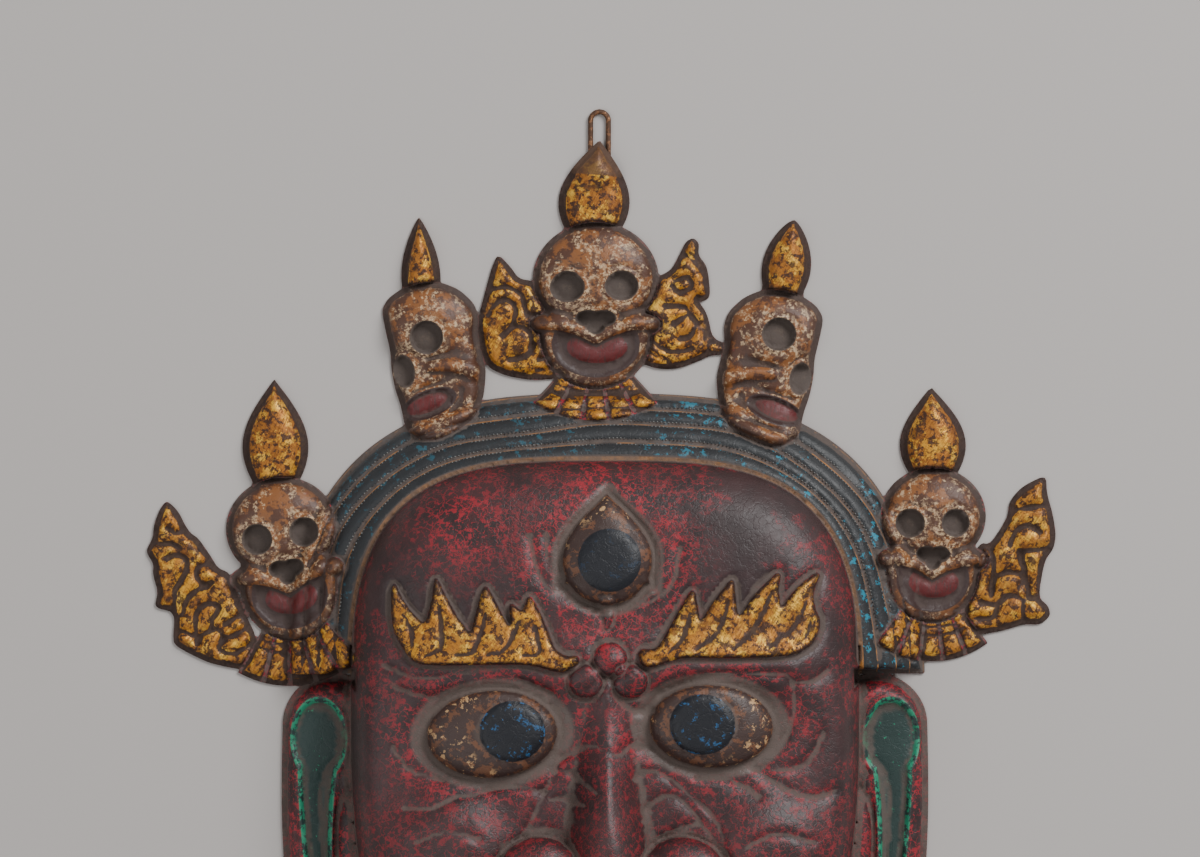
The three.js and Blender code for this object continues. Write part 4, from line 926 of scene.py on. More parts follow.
levels = halvings()
flat_z, flat_edge = height.ravel(), edge.ravel()
need = np.zeros(side * side, np.float32)
middles, crossed_below = [None] * len(levels), None
for depth in range(len(levels) - 1, -1, -1):
    ax, ay, bx, by, cx, cy = levels[depth].T
    a, b, c, m = where(ax, ay), where(bx, by), where(cx, cy), where((ax + bx) // 2, (ay + by) // 2)
    middles[depth] = m
    length = math.hypot(float(ax[0]) - float(bx[0]), float(ay[0]) - float(by[0])) * cell
    corners = np.stack([flat_edge[a], flat_edge[b], flat_edge[c], flat_edge[m]])
    inside = corners.max(0) > 0
    crosses = inside & (corners.min(0) < 0)
    if crossed_below is not None:
        crosses |= crossed_below[0::2] | crossed_below[1::2]
    want = np.where(inside, np.abs(flat_z[m] - (flat_z[a] + flat_z[b]) / 2) * math.sqrt(length), 0)
    want[inside & (length > LARGEST_STEP)] = np.inf
    want[crosses & (length > RIM_STEP)] = np.inf
    if depth + 1 < len(levels):
        below = need[middles[depth + 1]]
        want = np.maximum(want, np.maximum(below[0::2], below[1::2]))
    np.maximum.at(need, m, want.astype(np.float32))
    crossed_below = crosses


def chosen(limit):
    active, kept = np.arange(2), []
    for depth in range(len(levels)):
        m = middles[depth][active]
        split = need[m] > limit if depth + 1 < len(levels) else np.zeros(len(m), bool)
        kept.append(levels[depth][active[~split]])
        active = np.sort(np.concatenate([2 * active[split], 2 * active[split] + 1]))
    kept = np.vstack(kept)
    corners = np.stack([where(kept[:, 2 * i], kept[:, 2 * i + 1]) for i in range(3)], 1)
    return corners[(flat_edge[corners] > 0).any(1)]


low_limit, high_limit = 0.001, 10.0
for _ in range(12):
    limit = math.sqrt(low_limit * high_limit)
    if len(chosen(limit)) > FACES_PER_SIDE:
        low_limit = limit
    else:
        high_limit = limit
facets = chosen(high_limit)
print(f"{len(facets)} triangles a side, off by at most {high_limit:.2f}")

# %% Trim the triangles to the outline
used, facets = np.unique(facets, return_inverse=True)
facets = facets.reshape(-1, 3)
px = left + (used % side) * cell
py = bottom + (used // side) * cell
pe = flat_edge[used].astype(float)
shortest = np.full(len(used), np.inf)
for i in range(3):
    j = (i + 1) % 3
    length = np.hypot(px[facets[:, i]] - px[facets[:, j]], py[facets[:, i]] - py[facets[:, j]])
    np.minimum.at(shortest, facets[:, i], length)
    np.minimum.at(shortest, facets[:, j], length)
grad_y, grad_x = np.gradient(edge, cell)
gx, gy = grad_x.ravel()[used], grad_y.ravel()[used]
steep = np.maximum(gx * gx + gy * gy, 0.3)
close = np.abs(pe) < 0.3 * shortest
px = np.where(close, px - pe * gx / steep, px)
py = np.where(close, py - pe * gy / steep, py)
pe = np.where(close, 0.0, pe)

values = {name: m.ravel()[used].astype(float) for name, m in maps.items()}
values["top"], values["under"] = flat_z[used].astype(float), back.ravel()[used].astype(float)
signs = np.sign(pe)[facets]
whole = (signs >= 0).all(1) & (signs > 0).any(1)
crossing = facets[(signs < 0).any(1) & (signs > 0).any(1)]
kept, cuts, cut_pairs = [facets[whole]], {}, []


def cut(a, b):
    key = (a, b) if a < b else (b, a)
    if key not in cuts:
        cuts[key] = len(used) + len(cuts)
        cut_pairs.append(key)
    return cuts[key]


for facet in crossing.tolist():
    ring = []
    for i in range(3):
        a, b = facet[i], facet[(i + 1) % 3]
        if pe[a] >= 0:
            ring.append(a)
        if pe[a] * pe[b] < 0:
            ring.append(cut(a, b))
    kept.append(np.array([[ring[0], ring[i - 1], ring[i]] for i in range(2, len(ring))]))
first, second = np.array(cut_pairs).T
t = pe[first] / (pe[first] - pe[second])
px = np.concatenate([px, px[first] + (px[second] - px[first]) * t])
py = np.concatenate([py, py[first] + (py[second] - py[first]) * t])
pe = np.concatenate([pe, np.zeros(len(t))])
for name, v in values.items():
    values[name] = np.concatenate([v, v[first] + (v[second] - v[first]) * t])
facets = np.vstack(kept)
used, facets = np.unique(facets, return_inverse=True)
facets = facets.reshape(-1, 3)
px, py, pe = px[used], py[used], pe[used]
values = {name: v[used] for name, v in values.items()}
print(f"trimmed to {len(facets)} triangles and {len(used)} points")

# %% [markdown]
# ## The sheet as one mesh
# The drawing's zero is moved so that the chin and the sides meet the box of the frame. The paint maps
# go along as attributes of the points, because an attribute is carried by the mesh wherever it goes,
# while a picture would need a file.

# %% Build the sheet
LEAST_SHEET = 0.4
shift_x = (cad_low.x + cad_high.x) / 2 / MM - (px.min() + px.max()) / 2
shift_y = cad_low.y / MM + CHIN
rim_point = pe <= 0
rim_lift = wire_lift(px, py)
top = np.where(rim_point, rim_lift + SHEET, values["top"])
under = np.where(rim_point, rim_lift, np.minimum(values["under"], top - LEAST_SHEET))
under = np.maximum(under, 0)
top = np.maximum(top, under + LEAST_SHEET)


def rim_walls(facets, count):
    starts = facets.ravel()
    ends = np.roll(facets, -1, axis=1).ravel()
    forward = starts.astype(np.int64) * count + ends
    reverse = ends.astype(np.int64) * count + starts
    open_ = ~np.isin(forward, reverse)
    p, q = starts[open_], ends[open_]
    return np.stack([p, p + count, q + count, q], 1)


def show(name, data):
    thing = bpy.data.objects.new(name, data)
    bpy.context.scene.collection.objects.link(thing)
    return thing


def fill_mesh(name, points, triangles, quads=()):
    mesh = bpy.data.meshes.new(name)
    mesh.from_pydata(points.tolist(), [], triangles.tolist() + [q.tolist() for q in quads])
    mesh.polygons.foreach_set("use_smooth", [True] * len(triangles) + [False] * len(quads))
    mesh.update()
    return mesh


count = len(px)
xy = np.stack([px + shift_x, py + shift_y], 1)
points = np.vstack([np.column_stack([xy, top]), np.column_stack([xy, under])]) * MM
triangles = np.vstack([facets, facets[:, [0, 2, 1]] + count])
walls = rim_walls(facets, count)
sheet_mesh = fill_mesh("mask_skin", points, triangles, walls)
sides = np.zeros(2 * count)
sides[count:] = 1
FIELDS = (*PAINTS, "relief", "lock", "face", "covered", "flush")
for name in FIELDS:
    attribute = sheet_mesh.attributes.new(name, "FLOAT", "POINT")
    attribute.data.foreach_set("value", np.tile(values[name], 2).astype(np.float32))
attribute = sheet_mesh.attributes.new("behind", "FLOAT", "POINT")
attribute.data.foreach_set("value", sides.astype(np.float32))
mask_skin = show("mask_skin", sheet_mesh)
print("mask_skin has", 2 * len(facets) + 2 * len(walls), "triangles")

# %% [markdown]
# ## The hanging loop
# A piece of copper wire is bent into a narrow arch and soldered behind the tip of the middle jewel.
# It is a tube swept along a path: two legs and half a circle. Old wire is never quite even, so its
# thickness wavers a little, and its ends are filed round.

# %% Sweep the wire
WIRE_SIDES = 14


def wire_path():
    half, top_v = (LOOP_GAP + WIRE) / 2, LOOP_LENGTH - WIRE / 2
    leg = np.linspace(-LOOP_LEG, top_v - half, 12)
    turn = np.linspace(0, math.pi, 25)[1:-1]
    u = np.concatenate([np.full(12, half), half * np.cos(turn), np.full(12, -half)])
    v = np.concatenate([leg, top_v - half + half * np.sin(turn), leg[::-1]])
    return np.column_stack([u + tip_x + shift_x, v + tip_y + shift_y, np.full(len(u), WIRE / 2)])


def swept(path, radii, sides):
    along = np.gradient(path, axis=0)
    along /= np.linalg.norm(along, axis=1)[:, None]
    across = np.column_stack([along[:, 1], -along[:, 0], np.zeros(len(along))])
    up = np.array([0, 0, 1.0])
    angle = np.linspace(0, 2 * math.pi, sides, endpoint=False)
    rings = path[:, None] + radii[:, None, None] * (
        np.cos(angle)[None, :, None] * across[:, None] + np.sin(angle)[None, :, None] * up
    )
    points = np.vstack([rings.reshape(-1, 3), path[0], path[-1]])
    quads, caps = [], []
    for i in range(len(path) - 1):
        for j in range(sides):
            k = (j + 1) % sides
            quads.append([i * sides + j, i * sides + k, (i + 1) * sides + k, (i + 1) * sides + j])
    last = (len(path) - 1) * sides
    for j in range(sides):
        k = (j + 1) % sides
        caps.append([len(points) - 2, k, j])
        caps.append([len(points) - 1, last + j, last + k])
    return points, quads, caps


path = wire_path()
n = len(path)
radii = WIRE / 2 * (0.965 + 0.03 * np.sin(np.arange(n) * 1.7))
radii[[0, -1]] *= 0.6
path_points, quads, caps = swept(path, radii, WIRE_SIDES)
wire_mesh = bpy.data.meshes.new("wire_loop")
wire_mesh.from_pydata((path_points * MM).tolist(), [], quads + caps)
wire_mesh.polygons.foreach_set("use_smooth", [True] * (len(quads) + len(caps)))
wire_mesh.update()
wire_loop = show("wire_loop", wire_mesh)
print("wire_loop has", len(quads) + len(caps), "faces")

# %% [markdown]
# ## Rows of punched dots in the hair
# Along each lock the smith walked a round punch, dot after dot. A dot is repeated hundreds of times,
# so Geometry Nodes set it out: the tree takes the lines of the locks, puts points along them at an
# even pitch and sets a small low bead on each. Modelled into the sheet, they would need a far finer
# grid.

# %% Lines of the locks
def lock_line(phase, steps=150):
    """Points along one lock, found by walking out from the forehead until the phase is reached."""
    found = []
    for angle in np.linspace(math.radians(-74), math.radians(74), steps):
        r = np.linspace(105, 172, 300)
        x, y = r * math.sin(angle), r * math.cos(angle)
        share, lock = hair_share(x, y)
        on_hair = (face_edge(x, y) < -1.5) & (hair_shape(x, y) > 2)
        hits = np.nonzero((lock[:-1] > phase) & (lock[1:] <= phase) & on_hair[:-1])[0]
        if len(hits):
            found.append((x[hits[0]], y[hits[0]]))
    return found


def sampled(field, x, y):
    column = int(round((x - left) / cell))
    row = int(round((y - bottom) / cell))
    return float(field[row, column])


def dot_lines():
    points, edges = [], []
    for lock in range(LOCKS):
        for offset in (0.16, 0.84):
            previous = None
            for x, y in lock_line(lock + offset):
                clear = sampled(covered, x, y) < 0.02 and sampled(edge, x, y) > 3
                if not clear:
                    previous = None
                    continue
                points.append((x + shift_x, y + shift_y, sampled(height, x, y) + 0.02))
                if previous is not None:
                    edges.append((previous, len(points) - 1))
                previous = len(points) - 1
    mesh = bpy.data.meshes.new("lock_lines")
    mesh.from_pydata((np.array(points) * MM).tolist(), edges, [])
    return show("hair_dots", mesh)


hair_lines = dot_lines()
print("lines of the locks have", len(hair_lines.data.vertices), "points")


# %% A Geometry Nodes tree that beads a line
def beading_tree(material):
    tree = bpy.data.node_groups.new("punched_dots", "GeometryNodeTree")
    tree.interface.new_socket("Geometry", in_out="INPUT", socket_type="NodeSocketGeometry")
    pitch = tree.interface.new_socket("Pitch", in_out="INPUT", socket_type="NodeSocketFloat")
    radius = tree.interface.new_socket("Dot Radius", in_out="INPUT", socket_type="NodeSocketFloat")
    pitch.default_value, radius.default_value = 1.7 * MM, 0.42 * MM
    tree.interface.new_socket("Geometry", in_out="OUTPUT", socket_type="NodeSocketGeometry")
    add = tree.nodes.new
    given, result = add("NodeGroupInput"), add("NodeGroupOutput")
    curve, resample = add("GeometryNodeMeshToCurve"), add("GeometryNodeResampleCurve")
    bead, flat = add("GeometryNodeMeshIcoSphere"), add("GeometryNodeTransform")
    instance, realize = add("GeometryNodeInstanceOnPoints"), add("GeometryNodeRealizeInstances")
    paint, smooth = add("GeometryNodeSetMaterial"), add("GeometryNodeSetShadeSmooth")
    resample.mode = "LENGTH"
    bead.inputs["Subdivisions"].default_value = 1
    flat.inputs["Scale"].default_value = (1, 1, 0.55)
    paint.inputs["Material"].default_value = material
    for source, target in (
        (given.outputs["Geometry"], curve.inputs["Mesh"]),
        (curve.outputs["Curve"], resample.inputs["Curve"]),
        (given.outputs["Pitch"], resample.inputs["Length"]),
        (given.outputs["Dot Radius"], bead.inputs["Radius"]),
        (bead.outputs["Mesh"], flat.inputs["Geometry"]),
        (resample.outputs["Curve"], instance.inputs["Points"]),
        (flat.outputs["Geometry"], instance.inputs["Instance"]),
        (instance.outputs["Instances"], realize.inputs["Geometry"]),
        (realize.outputs["Geometry"], smooth.inputs["Geometry"]),
        (smooth.outputs["Geometry"], paint.inputs["Geometry"]),
        (paint.outputs["Geometry"], result.inputs["Geometry"]),
    ):
        tree.links.new(source, target)
    return tree


# %% [markdown]
# ## Paint
# The finishes share a few effects: paint that has worn off in patches, a fine crackle, tool marks
# that run one way, and dust that stays in what is chased deep. Each effect is a node group that puts
# out a mask, so every finish can use it at its own scale. Coordinates are the object's own, in
# millimetres.

# %% A short way to write nodes
def srgb(r, g, b):
    """A colour as a camera writes it, turned into the linear light that shaders use."""
    values = [c / 255 for c in (r, g, b)]
    return (*(c / 12.92 if c <= 0.04045 else ((c + 0.055) / 1.055) ** 2.4 for c in values), 1.0)


class Bench:
    """Adds nodes to one tree and links them where an input is another node's output."""

    def __init__(self, tree):
        self.tree = tree

    def put(self, socket, value):
        if isinstance(value, bpy.types.NodeSocket):
            self.tree.links.new(value, socket)
        else:
            socket.default_value = value

    def add(self, kind, inputs=(), **settings):
        node = self.tree.nodes.new("ShaderNode" + kind)
        for name, value in settings.items():
            setattr(node, name, value)
        for name, value in dict(inputs).items():
            self.put(node.inputs[name], value)
        return node

    def math(self, operation, *values):
        node = self.add("Math", operation=operation)
        for socket, value in zip(node.inputs, values):
            self.put(socket, value)
        return node.outputs[0]

    def times(self, a, b):
        return self.math("MULTIPLY", a, b)

    def mix(self, factor, a, b):
        node = self.add("Mix", data_type="RGBA")
        for socket, value in zip((node.inputs[0], node.inputs[6], node.inputs[7]), (factor, a, b)):
            self.put(socket, value)
        return node.outputs[2]

    def blend(self, factor, a, b):
        node = self.add("Mix", data_type="FLOAT")
        for socket, value in zip((node.inputs[0], node.inputs[2], node.inputs[3]), (factor, a, b)):
            self.put(socket, value)
        return node.outputs[0]

    def ramp(self, value, low, high):
        inputs = {"Value": value, "From Min": low, "From Max": high}
        return self.add("MapRange", inputs, interpolation_type="SMOOTHSTEP").outputs["Result"]

    def attribute(self, name):
        return self.add("Attribute", attribute_name=name).outputs["Fac"]

    def noise(self, place, scale, detail=4.0, roughness=0.6):
        inputs = {"Vector": place, "Scale": scale, "Detail": detail, "Roughness": roughness}
        return self.add("TexNoise", inputs).outputs["Fac"]

    def group(self, group, **inputs):
        node = self.add("Group", node_tree=group)
        for name, value in inputs.items():
            self.put(node.inputs[name.replace("_", " ").title()], value)
        return node.outputs[0]


def new_group(name, inputs, output="Mask"):
    tree = bpy.data.node_groups.new(name, "ShaderNodeTree")
    for label, kind, default in inputs:
        socket = tree.interface.new_socket(label, in_out="INPUT", socket_type="NodeSocket" + kind)
        if kind == "Float":
            socket.default_value = default
    tree.interface.new_socket(output, in_out="OUTPUT", socket_type="NodeSocketFloat")
    bench = Bench(tree)
    given, result = tree.nodes.new("NodeGroupInput"), tree.nodes.new("NodeGroupOutput")
    return tree, bench, given.outputs, result.inputs[0]


# %% Shared effects
worn_patches, b, given, out = new_group(
    "worn_patches", [("Place", "Vector", 0), ("Size", "Float", 10.0), ("Share", "Float", 0.5)]
)
grain = b.noise(given["Place"], b.math("DIVIDE", 1.0, given["Size"]), 4.0, 0.7)
cut_off = b.math("SUBTRACT", 0.72, b.times(given["Share"], 0.44))
b.put(out, b.ramp(grain, b.math("SUBTRACT", cut_off, 0.03), b.math("ADD", cut_off, 0.03)))

crackle, b, given, out = new_group(
    "crackle", [("Place", "Vector", 0), ("Size", "Float", 4.0), ("Width", "Float", 0.08)]
)
swirl = b.add("TexNoise", {"Vector": given["Place"], "Scale": 0.35, "Detail": 2.0}).outputs["Color"]
bent = b.add("VectorMath", operation="MULTIPLY_ADD")
b.put(bent.inputs[0], swirl)
bent.inputs[1].default_value = (5, 5, 5)
b.put(bent.inputs[2], given["Place"])
cells = b.add("TexVoronoi", {"Vector": bent.outputs[0]}, feature="DISTANCE_TO_EDGE")
b.put(cells.inputs["Scale"], b.math("DIVIDE", 1.0, given["Size"]))
b.put(out, b.ramp(cells.outputs["Distance"], given["Width"], 0.0))

tool_marks, b, given, out = new_group(
    "tool_marks", [("Place", "Vector", 0), ("Spacing", "Float", 1.0), ("Turn", "Float", 0.6)]
)
turned = b.add("VectorRotate", {"Vector": given["Place"]}, rotation_type="Z_AXIS")
b.put(turned.inputs["Angle"], given["Turn"])
stretched = b.add("VectorMath", {0: turned.outputs[0], 1: (1, 0.09, 0.4)}, operation="MULTIPLY")
marks = b.noise(stretched.outputs[0], b.math("DIVIDE", 1.0, given["Spacing"]), 3.0, 0.7)
b.put(out, b.ramp(marks, 0.52, 0.62))

dust, b, given, out = new_group(
    "dust_in_grooves", [("Place", "Vector", 0), ("Relief", "Float", 0.0), ("Depth", "Float", 0.9)]
)
deep = b.ramp(b.times(given["Relief"], -1.0), 0.1, given["Depth"])
patchy = b.ramp(b.noise(given["Place"], 0.22, 5.0, 0.6), 0.25, 0.6)
b.put(out, b.times(deep, b.blend(patchy, 0.55, 1.0)))
print("effects:", [g.name for g in bpy.data.node_groups])

# %% Finishes
PAINT = dict(
    lacquer_dark=srgb(44, 31, 32), lacquer=srgb(64, 42, 43), red=srgb(158, 34, 46),
    old_red=srgb(90, 33, 38),
    groove=srgb(92, 80, 74), gold=srgb(212, 148, 42), gold_light=srgb(240, 190, 74),
    gold_dark=srgb(112, 66, 32), brown=srgb(56, 38, 34), old_gold=srgb(168, 104, 36),
    bone=srgb(214, 184, 146), bone_dark=srgb(134, 84, 45), bone_brown=srgb(82, 52, 38),
    # The skulls' dark brown stands for grime mottling their edges and for painted shade in their recesses.
    grime_and_shade=srgb(56, 40, 36), pit=srgb(84, 74, 69), mouth=srgb(100, 31, 33), hole=srgb(62, 46, 44),
    hair=srgb(47, 50, 53), hair_dark=srgb(31, 32, 34), teal=srgb(30, 124, 148),
    lock_line=srgb(192, 128, 58),
    shell=srgb(38, 58, 55), green=srgb(34, 138, 104), sclera=srgb(62, 46, 42), bronze=srgb(104, 68, 48),
    cream=srgb(206, 164, 116), iris=srgb(20, 22, 29), blue=srgb(34, 92, 138), cap=srgb(98, 70, 52),
    copper=srgb(112, 74, 56), copper_dark=srgb(60, 44, 38), dot=srgb(112, 112, 110),
    wire=srgb(92, 68, 54), wire_light=srgb(140, 100, 72),
)


def worn_off(b, place, size, share):
    return b.group(worn_patches, place=place, size=size, share=share)


def lacquer_colour(b, place, flush):
    base = b.mix(b.ramp(b.noise(place, 0.035, 5.0), 0.3, 0.7), PAINT["lacquer_dark"], PAINT["lacquer"])
    zones = b.times(worn_off(b, place, 46.0, 0.5), 0.35)
    zones = b.math("MAXIMUM", zones, flush)
    old = b.times(worn_off(b, place, 16.0, 0.5), zones)
    colour = b.mix(b.times(old, 0.4), base, PAINT["old_red"])
    veins = b.group(crackle, place=place, size=4.0, width=0.07)
    fine = b.group(crackle, place=place, size=2.0, width=0.06)
    fine = b.times(fine, worn_off(b, place, 18.0, 0.4))
    veins = b.times(b.math("MAXIMUM", veins, fine), worn_off(b, place, 9.0, 0.6))
    colour = b.mix(b.times(veins, b.math("MINIMUM", b.times(zones, 1.3), 0.95)), colour,
                   PAINT["red"])
    chips = b.times(worn_off(b, place, 4.0, 0.34), zones)
    return b.mix(chips, colour, PAINT["red"])


def gold_colour(b, place, depth, jewel):
    tone = b.noise(place, 0.16, 5.0, 0.65)
    colour = b.mix(b.ramp(tone, 0.4, 0.68), PAINT["gold"], PAINT["gold_light"])
    aged = worn_off(b, place, 8.0, 0.55)
    colour = b.mix(b.times(aged, b.blend(jewel, 0.75, 0.95)), colour, PAINT["old_gold"])
    marks = b.group(tool_marks, place=place, spacing=0.55, turn=0.5)
    cross = b.group(tool_marks, place=place, spacing=0.8, turn=-0.9)
    colour = b.mix(b.times(marks, 0.6), colour, PAINT["gold_dark"])
    colour = b.mix(b.times(cross, 0.4), colour, PAINT["gold_dark"])
    stains = worn_off(b, place, 6.0, 0.42)
    colour = b.mix(b.times(stains, 0.7), colour, PAINT["gold_dark"])
    worn = worn_off(b, place, 3.0, 0.42)
    colour = b.mix(b.times(worn, 0.85), colour, PAINT["brown"])
    rim = b.times(b.ramp(depth["gold"], 2.3, 0.3), b.ramp(b.noise(place, 0.4, 4.0), 0.25, 0.55))
    colour = b.mix(rim, colour, PAINT["brown"])
    # Painted shade: the gold turns brown where the relief is low, in the chased recesses.
    return b.mix(b.times(b.ramp(depth["relief"], 0.1, -0.35), 0.95), colour, PAINT["brown"])


def bone_colour(b, place, depth):
    colour = b.mix(worn_off(b, place, 11.0, 0.5), PAINT["bone_dark"], PAINT["bone_brown"])
    # Cream round the sockets is partly the skull's own paint and partly a painted highlight on their raised
    # rims; the scattered cream patches are the skull's own paint.
    near = b.ramp(depth["pit"], -4.5, -0.8)
    spread = b.times(worn_off(b, place, 8.0, 0.42), 0.75)
    speckle = b.ramp(b.noise(place, 0.5, 4.0, 0.75), 0.45, 0.62)
    light = b.times(b.math("MAXIMUM", near, spread), speckle)
    colour = b.mix(light, colour, PAINT["bone"])
    worn = worn_off(b, place, 3.5, 0.36)
    colour = b.mix(b.times(worn, 0.8), colour, PAINT["bone_brown"])
    rim = b.times(b.ramp(depth["bone"], 6.0, 0.5), b.ramp(b.noise(place, 0.3, 4.0), 0.2, 0.55))
    off_face = b.ramp(depth["face"], 12.0, 4.0)
    colour = b.mix(b.times(b.math("SUBTRACT", 1.0, off_face), 0.6), colour, PAINT["bone"])
    colour = b.mix(b.times(b.times(rim, off_face), 0.85), colour, PAINT["grime_and_shade"])
    blush = worn_off(b, place, 4.0, 0.14)
    colour = b.mix(b.times(blush, 0.6), colour, PAINT["mouth"])
    # Painted shade: the bone darkens to dark brown where the relief is low, in the recesses.
    return b.mix(b.times(b.ramp(depth["relief"], -0.05, -0.45), 0.85), colour, PAINT["grime_and_shade"])


def hair_colour(b, place, lock, to_right):
    colour = b.mix(b.noise(place, 0.08, 4.0), PAINT["hair_dark"], PAINT["hair"])
    teal = b.times(worn_off(b, place, 4.0, 0.3),
                   worn_off(b, place, 38.0, 0.5))
    teal = b.times(teal, b.blend(to_right, 0.3, 1.0))
    colour = b.mix(teal, colour, PAINT["teal"])
    phase = b.math("ABSOLUTE", b.math("SUBTRACT", b.math("FRACT", lock), 0.1))
    gilt = b.times(b.ramp(phase, 0.04, 0.018), worn_off(b, place, 14.0, 0.6))
    return b.mix(b.times(gilt, 0.85), colour, PAINT["lock_line"])


def eye_colours(b, place, iris, upper):
    sclera = b.mix(worn_off(b, place, 6.0, 0.4), PAINT["sclera"], PAINT["bronze"])
    pale = b.times(b.ramp(iris, -3.5, -8.0), worn_off(b, place, 5.0, 0.28))
    pale = b.times(pale, 0.8)
    sclera = b.mix(pale, sclera, PAINT["cream"])
    rings = b.ramp(b.math("SINE", b.times(iris, 5.2)), -1.0, 0.6)
    flecks = b.times(b.blend(rings, 0.45, 1.0), worn_off(b, place, 4.2, 0.3))
    flecks = b.times(flecks, b.blend(upper, 0.8, 0.12))
    pupil = b.ramp(iris, 7.5, 8.5)
    disc = b.mix(b.times(flecks, b.math("SUBTRACT", 1.0, pupil)), PAINT["iris"], PAINT["blue"])
    return sclera, disc


# %% A start for every finish
def new_finish(name):
    """A material, its shader, a bench to work at and the object's own place in millimetres."""
    material = bpy.data.materials.new(name)
    material.use_nodes = True
    b = Bench(material.node_tree)
    place = b.add("VectorMath", {0: b.add("TexCoord").outputs["Object"]}, operation="SCALE")
    place.inputs["Scale"].default_value = 1 / MM
    return material, material.node_tree.nodes["Principled BSDF"], b, place.outputs[0]


# %% One paint for the whole sheet
def painted_copper():
    material, shader, b, place = new_finish("painted_copper")
    depth = {name: b.attribute(name) for name in (*FIELDS, "behind")}
    on = {name: b.ramp(depth[name], -0.25, 0.25) for name in PAINTS}

    across = b.add("SeparateXYZ", {0: place}).outputs
    colour = lacquer_colour(b, place, depth["flush"])
    to_right = b.ramp(across["X"], shift_x - 10, shift_x + 80)
    colour = b.mix(on["hair"], colour, hair_colour(b, place, depth["lock"], to_right))
    flecks = b.math("MAXIMUM", b.times(b.ramp(depth["shell"], 3.6, 1.0),
                                       worn_off(b, place, 4.0, 0.5)),
                    worn_off(b, place, 3.0, 0.16))
    colour = b.mix(on["shell"], colour, b.mix(flecks, PAINT["shell"], PAINT["green"]))
    hairline = b.ramp(b.math("ABSOLUTE", b.math("ADD", depth["face"], 0.9)), 1.1, 0.7)
    upper = b.ramp(across["Y"], shift_y + 18, shift_y + 24)
    bare = b.ramp(depth["covered"], 0.3, 0.0)
    hairline = b.times(b.times(hairline, upper), bare)
    colour = b.mix(b.times(hairline, 0.75), colour, PAINT["lock_line"])
    sclera, disc = eye_colours(b, place, depth["iris"], upper)
    socket = b.times(b.ramp(depth["eye"], -6.0, -4.0), b.ramp(depth["eye"], 1.2, -0.4))
    colour = b.mix(b.times(socket, 0.8), colour, PAINT["groove"])
    colour = b.mix(on["lip"], colour, PAINT["old_red"])
    colour = b.mix(on["eye"], colour, sclera)
    colour = b.mix(b.times(on["iris"], on["eye"]), colour, disc)
    colour = b.mix(on["gold"], colour, gold_colour(b, place, depth, on["jewel"]))
    colour = b.mix(b.times(on["cap"], 0.85), colour, PAINT["cap"])
    colour = b.mix(on["bone"], colour, bone_colour(b, place, depth))
    colour = b.mix(b.times(on["pit"], 0.95), colour, PAINT["pit"])
    colour = b.mix(on["hole"], colour, PAINT["hole"])
    streaks = b.blend(b.group(tool_marks, place=place, spacing=0.7, turn=0.1), 0.85, 0.25)
    colour = b.mix(b.times(on["red"], streaks), colour, PAINT["mouth"])
    dusty = b.group(dust, place=place, relief=depth["relief"], depth=0.6)
    on_crown = b.math("MAXIMUM", on["gold"], on["bone"])
    colour = b.mix(b.times(dusty, b.blend(on_crown, 0.85, 0.35)), colour, PAINT["groove"])
    patina = b.mix(b.noise(place, 0.05, 6.0), PAINT["copper_dark"], PAINT["copper"])
    colour = b.mix(depth["behind"], colour, patina)
    b.put(shader.inputs["Base Color"], colour)

    metal = b.times(on["gold"], 0.4)
    b.put(shader.inputs["Metallic"], b.blend(depth["behind"], metal, 0.7))
    rough = b.blend(b.noise(place, 0.25, 4.0), 0.36, 0.58)
    rough = b.blend(on["pit"], rough, 0.75)
    rough = b.blend(dusty, rough, 0.8)
    b.put(shader.inputs["Roughness"], rough)

    hammered = b.times(b.noise(place, 0.09, 2.0), 0.5)
    grain = b.times(b.noise(place, 0.9, 4.0), 0.12)
    scratches = b.times(b.group(tool_marks, place=place, spacing=0.55, turn=0.5), -0.1)
    scratches = b.times(scratches, on["gold"])
    lift_ = b.times(b.group(crackle, place=place, size=4.6, width=0.1), -0.06)
    total = b.math("ADD", b.math("ADD", hammered, grain), b.math("ADD", scratches, lift_))
    bump = b.add("Bump", {"Height": total, "Strength": 0.8, "Distance": MM})
    b.put(shader.inputs["Normal"], bump.outputs["Normal"])
    shader.inputs["Specular IOR Level"].default_value = 0.45
    return material


def copper_wire():
    material, shader, b, place = new_finish("copper_wire")
    worn = worn_off(b, place, 2.5, 0.45)
    b.put(shader.inputs["Base Color"], b.mix(worn, PAINT["wire"], PAINT["wire_light"]))
    b.put(shader.inputs["Roughness"], b.blend(worn, 0.6, 0.42))
    bump = b.add("Bump", {"Height": b.times(b.noise(place, 1.2), 0.15), "Distance": MM})
    b.put(shader.inputs["Normal"], bump.outputs["Normal"])
    shader.inputs["Metallic"].default_value = 0.75
    return material


def dot_finish():
    material, shader, b, place = new_finish("dusty_dots")
    worn = worn_off(b, place, 9.0, 0.5)
    b.put(shader.inputs["Base Color"], b.mix(worn, PAINT["hair"], PAINT["dot"]))
    b.put(shader.inputs["Roughness"], b.blend(worn, 0.5, 0.75))
    return material


mask_skin.data.materials.append(painted_copper())
wire_loop.data.materials.append(copper_wire())
print("finishes:", [m.name for m in bpy.data.materials])

# %% Bead the hair
modifier = hair_lines.modifiers.new("dots", "NODES")
modifier.node_group = beading_tree(dot_finish())
bpy.context.view_layer.update()
beaded = bpy.data.meshes.new_from_object(hair_lines.evaluated_get(bpy.context.evaluated_depsgraph_get()))
hair_lines.modifiers.clear()
hair_lines.data = beaded
print("hair_dots has", len(beaded.polygons), "faces")

# %% [markdown]
# ## Where the pieces belong
# The sheet stands for the frame's sheet and the wire for its loop; the dots lie on the sheet.

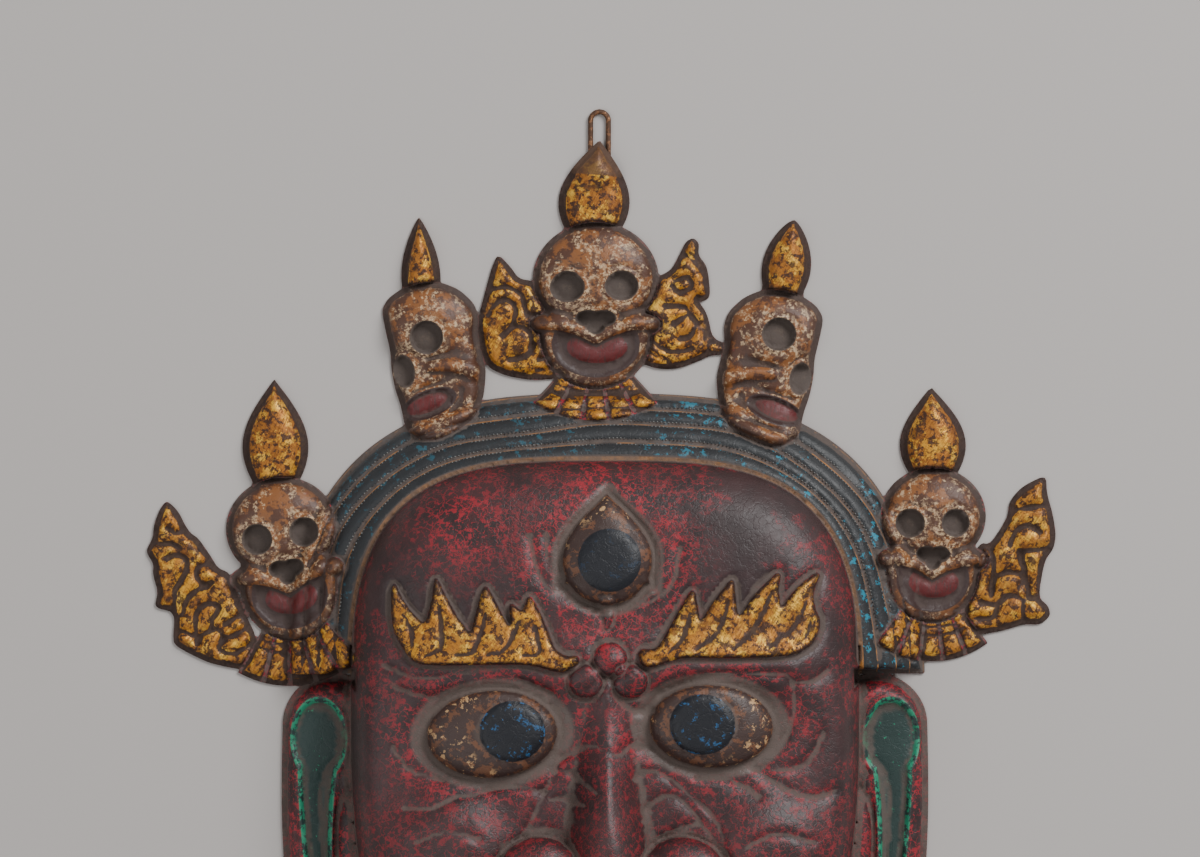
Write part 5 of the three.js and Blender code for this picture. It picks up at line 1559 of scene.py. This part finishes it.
# %% Tie the pieces to the frame
for piece, node, slot in (
    (mask_skin, "mask_sheet", "painted_copper"),
    (wire_loop, "hanging_loop", "copper_wire"),
    (hair_lines, None, "painted_copper"),
):
    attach(piece, "root")
    if node:
        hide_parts(node)
print("pieces:", mask_skin.name, wire_loop.name, hair_lines.name)

# %% [markdown]
# ## Floor, light and camera
# The photograph was taken straight on against a pale wall, so here the camera looks straight down at
# the mask lying on a pale floor. A large soft light stands at the upper right, as in the photograph,
# and a weak wide one opposite keeps the grooves readable.

# %% Floor
floor_mesh = bpy.data.meshes.new("floor")
FLOOR_HALF = 6.0
corners = [(-FLOOR_HALF, -FLOOR_HALF, 0), (FLOOR_HALF, -FLOOR_HALF, 0), (FLOOR_HALF, FLOOR_HALF, 0),
           (-FLOOR_HALF, FLOOR_HALF, 0)]
floor_mesh.from_pydata(corners, [], [(0, 1, 2, 3)])
floor = show("floor", floor_mesh)
floor_paint = bpy.data.materials.new("pale_floor")
floor_paint.use_nodes = True
floor_shader = floor_paint.node_tree.nodes["Principled BSDF"]
floor_shader.inputs["Base Color"].default_value = srgb(186, 181, 178)
floor_shader.inputs["Roughness"].default_value = 0.9
floor_mesh.materials.append(floor_paint)

# %% Lights
def soft_light(name, place, aim, size, power):
    data = bpy.data.lights.new(name, "AREA")
    data.shape, data.size, data.energy = "SQUARE", size, power
    light = show(name, data)
    light.location = place
    light.rotation_euler = (Vector(aim) - Vector(place)).to_track_quat("-Z", "Y").to_euler()


soft_light("window_light", (1.5, 1.6, 1.9), (0, 0.05, 0), 1.3, 80)
soft_light("fill_light", (-1.6, -0.6, 2.4), (0, 0.05, 0), 2.4, 22)
world = bpy.data.worlds.new("studio")
world.use_nodes = True
world.node_tree.nodes["Background"].inputs["Color"].default_value = (1, 1, 1, 1)
world.node_tree.nodes["Background"].inputs["Strength"].default_value = 0.4
bpy.context.scene.world = world

# %% Camera
FRAME_WIDTH = 540.0
CAMERA_HEIGHT = 3.0
SENSOR = 36.0
camera_data = bpy.data.cameras.new("camera")
camera_data.sensor_width = SENSOR
camera_data.lens = SENSOR * CAMERA_HEIGHT / (FRAME_WIDTH * MM)
camera = show("camera", camera_data)
camera.location = ((shift_x - 2.25) * MM, (shift_y + 131.2) * MM, CAMERA_HEIGHT)
bpy.context.scene.camera = camera
print("camera looks down at", tuple(round(v, 3) for v in camera.location))
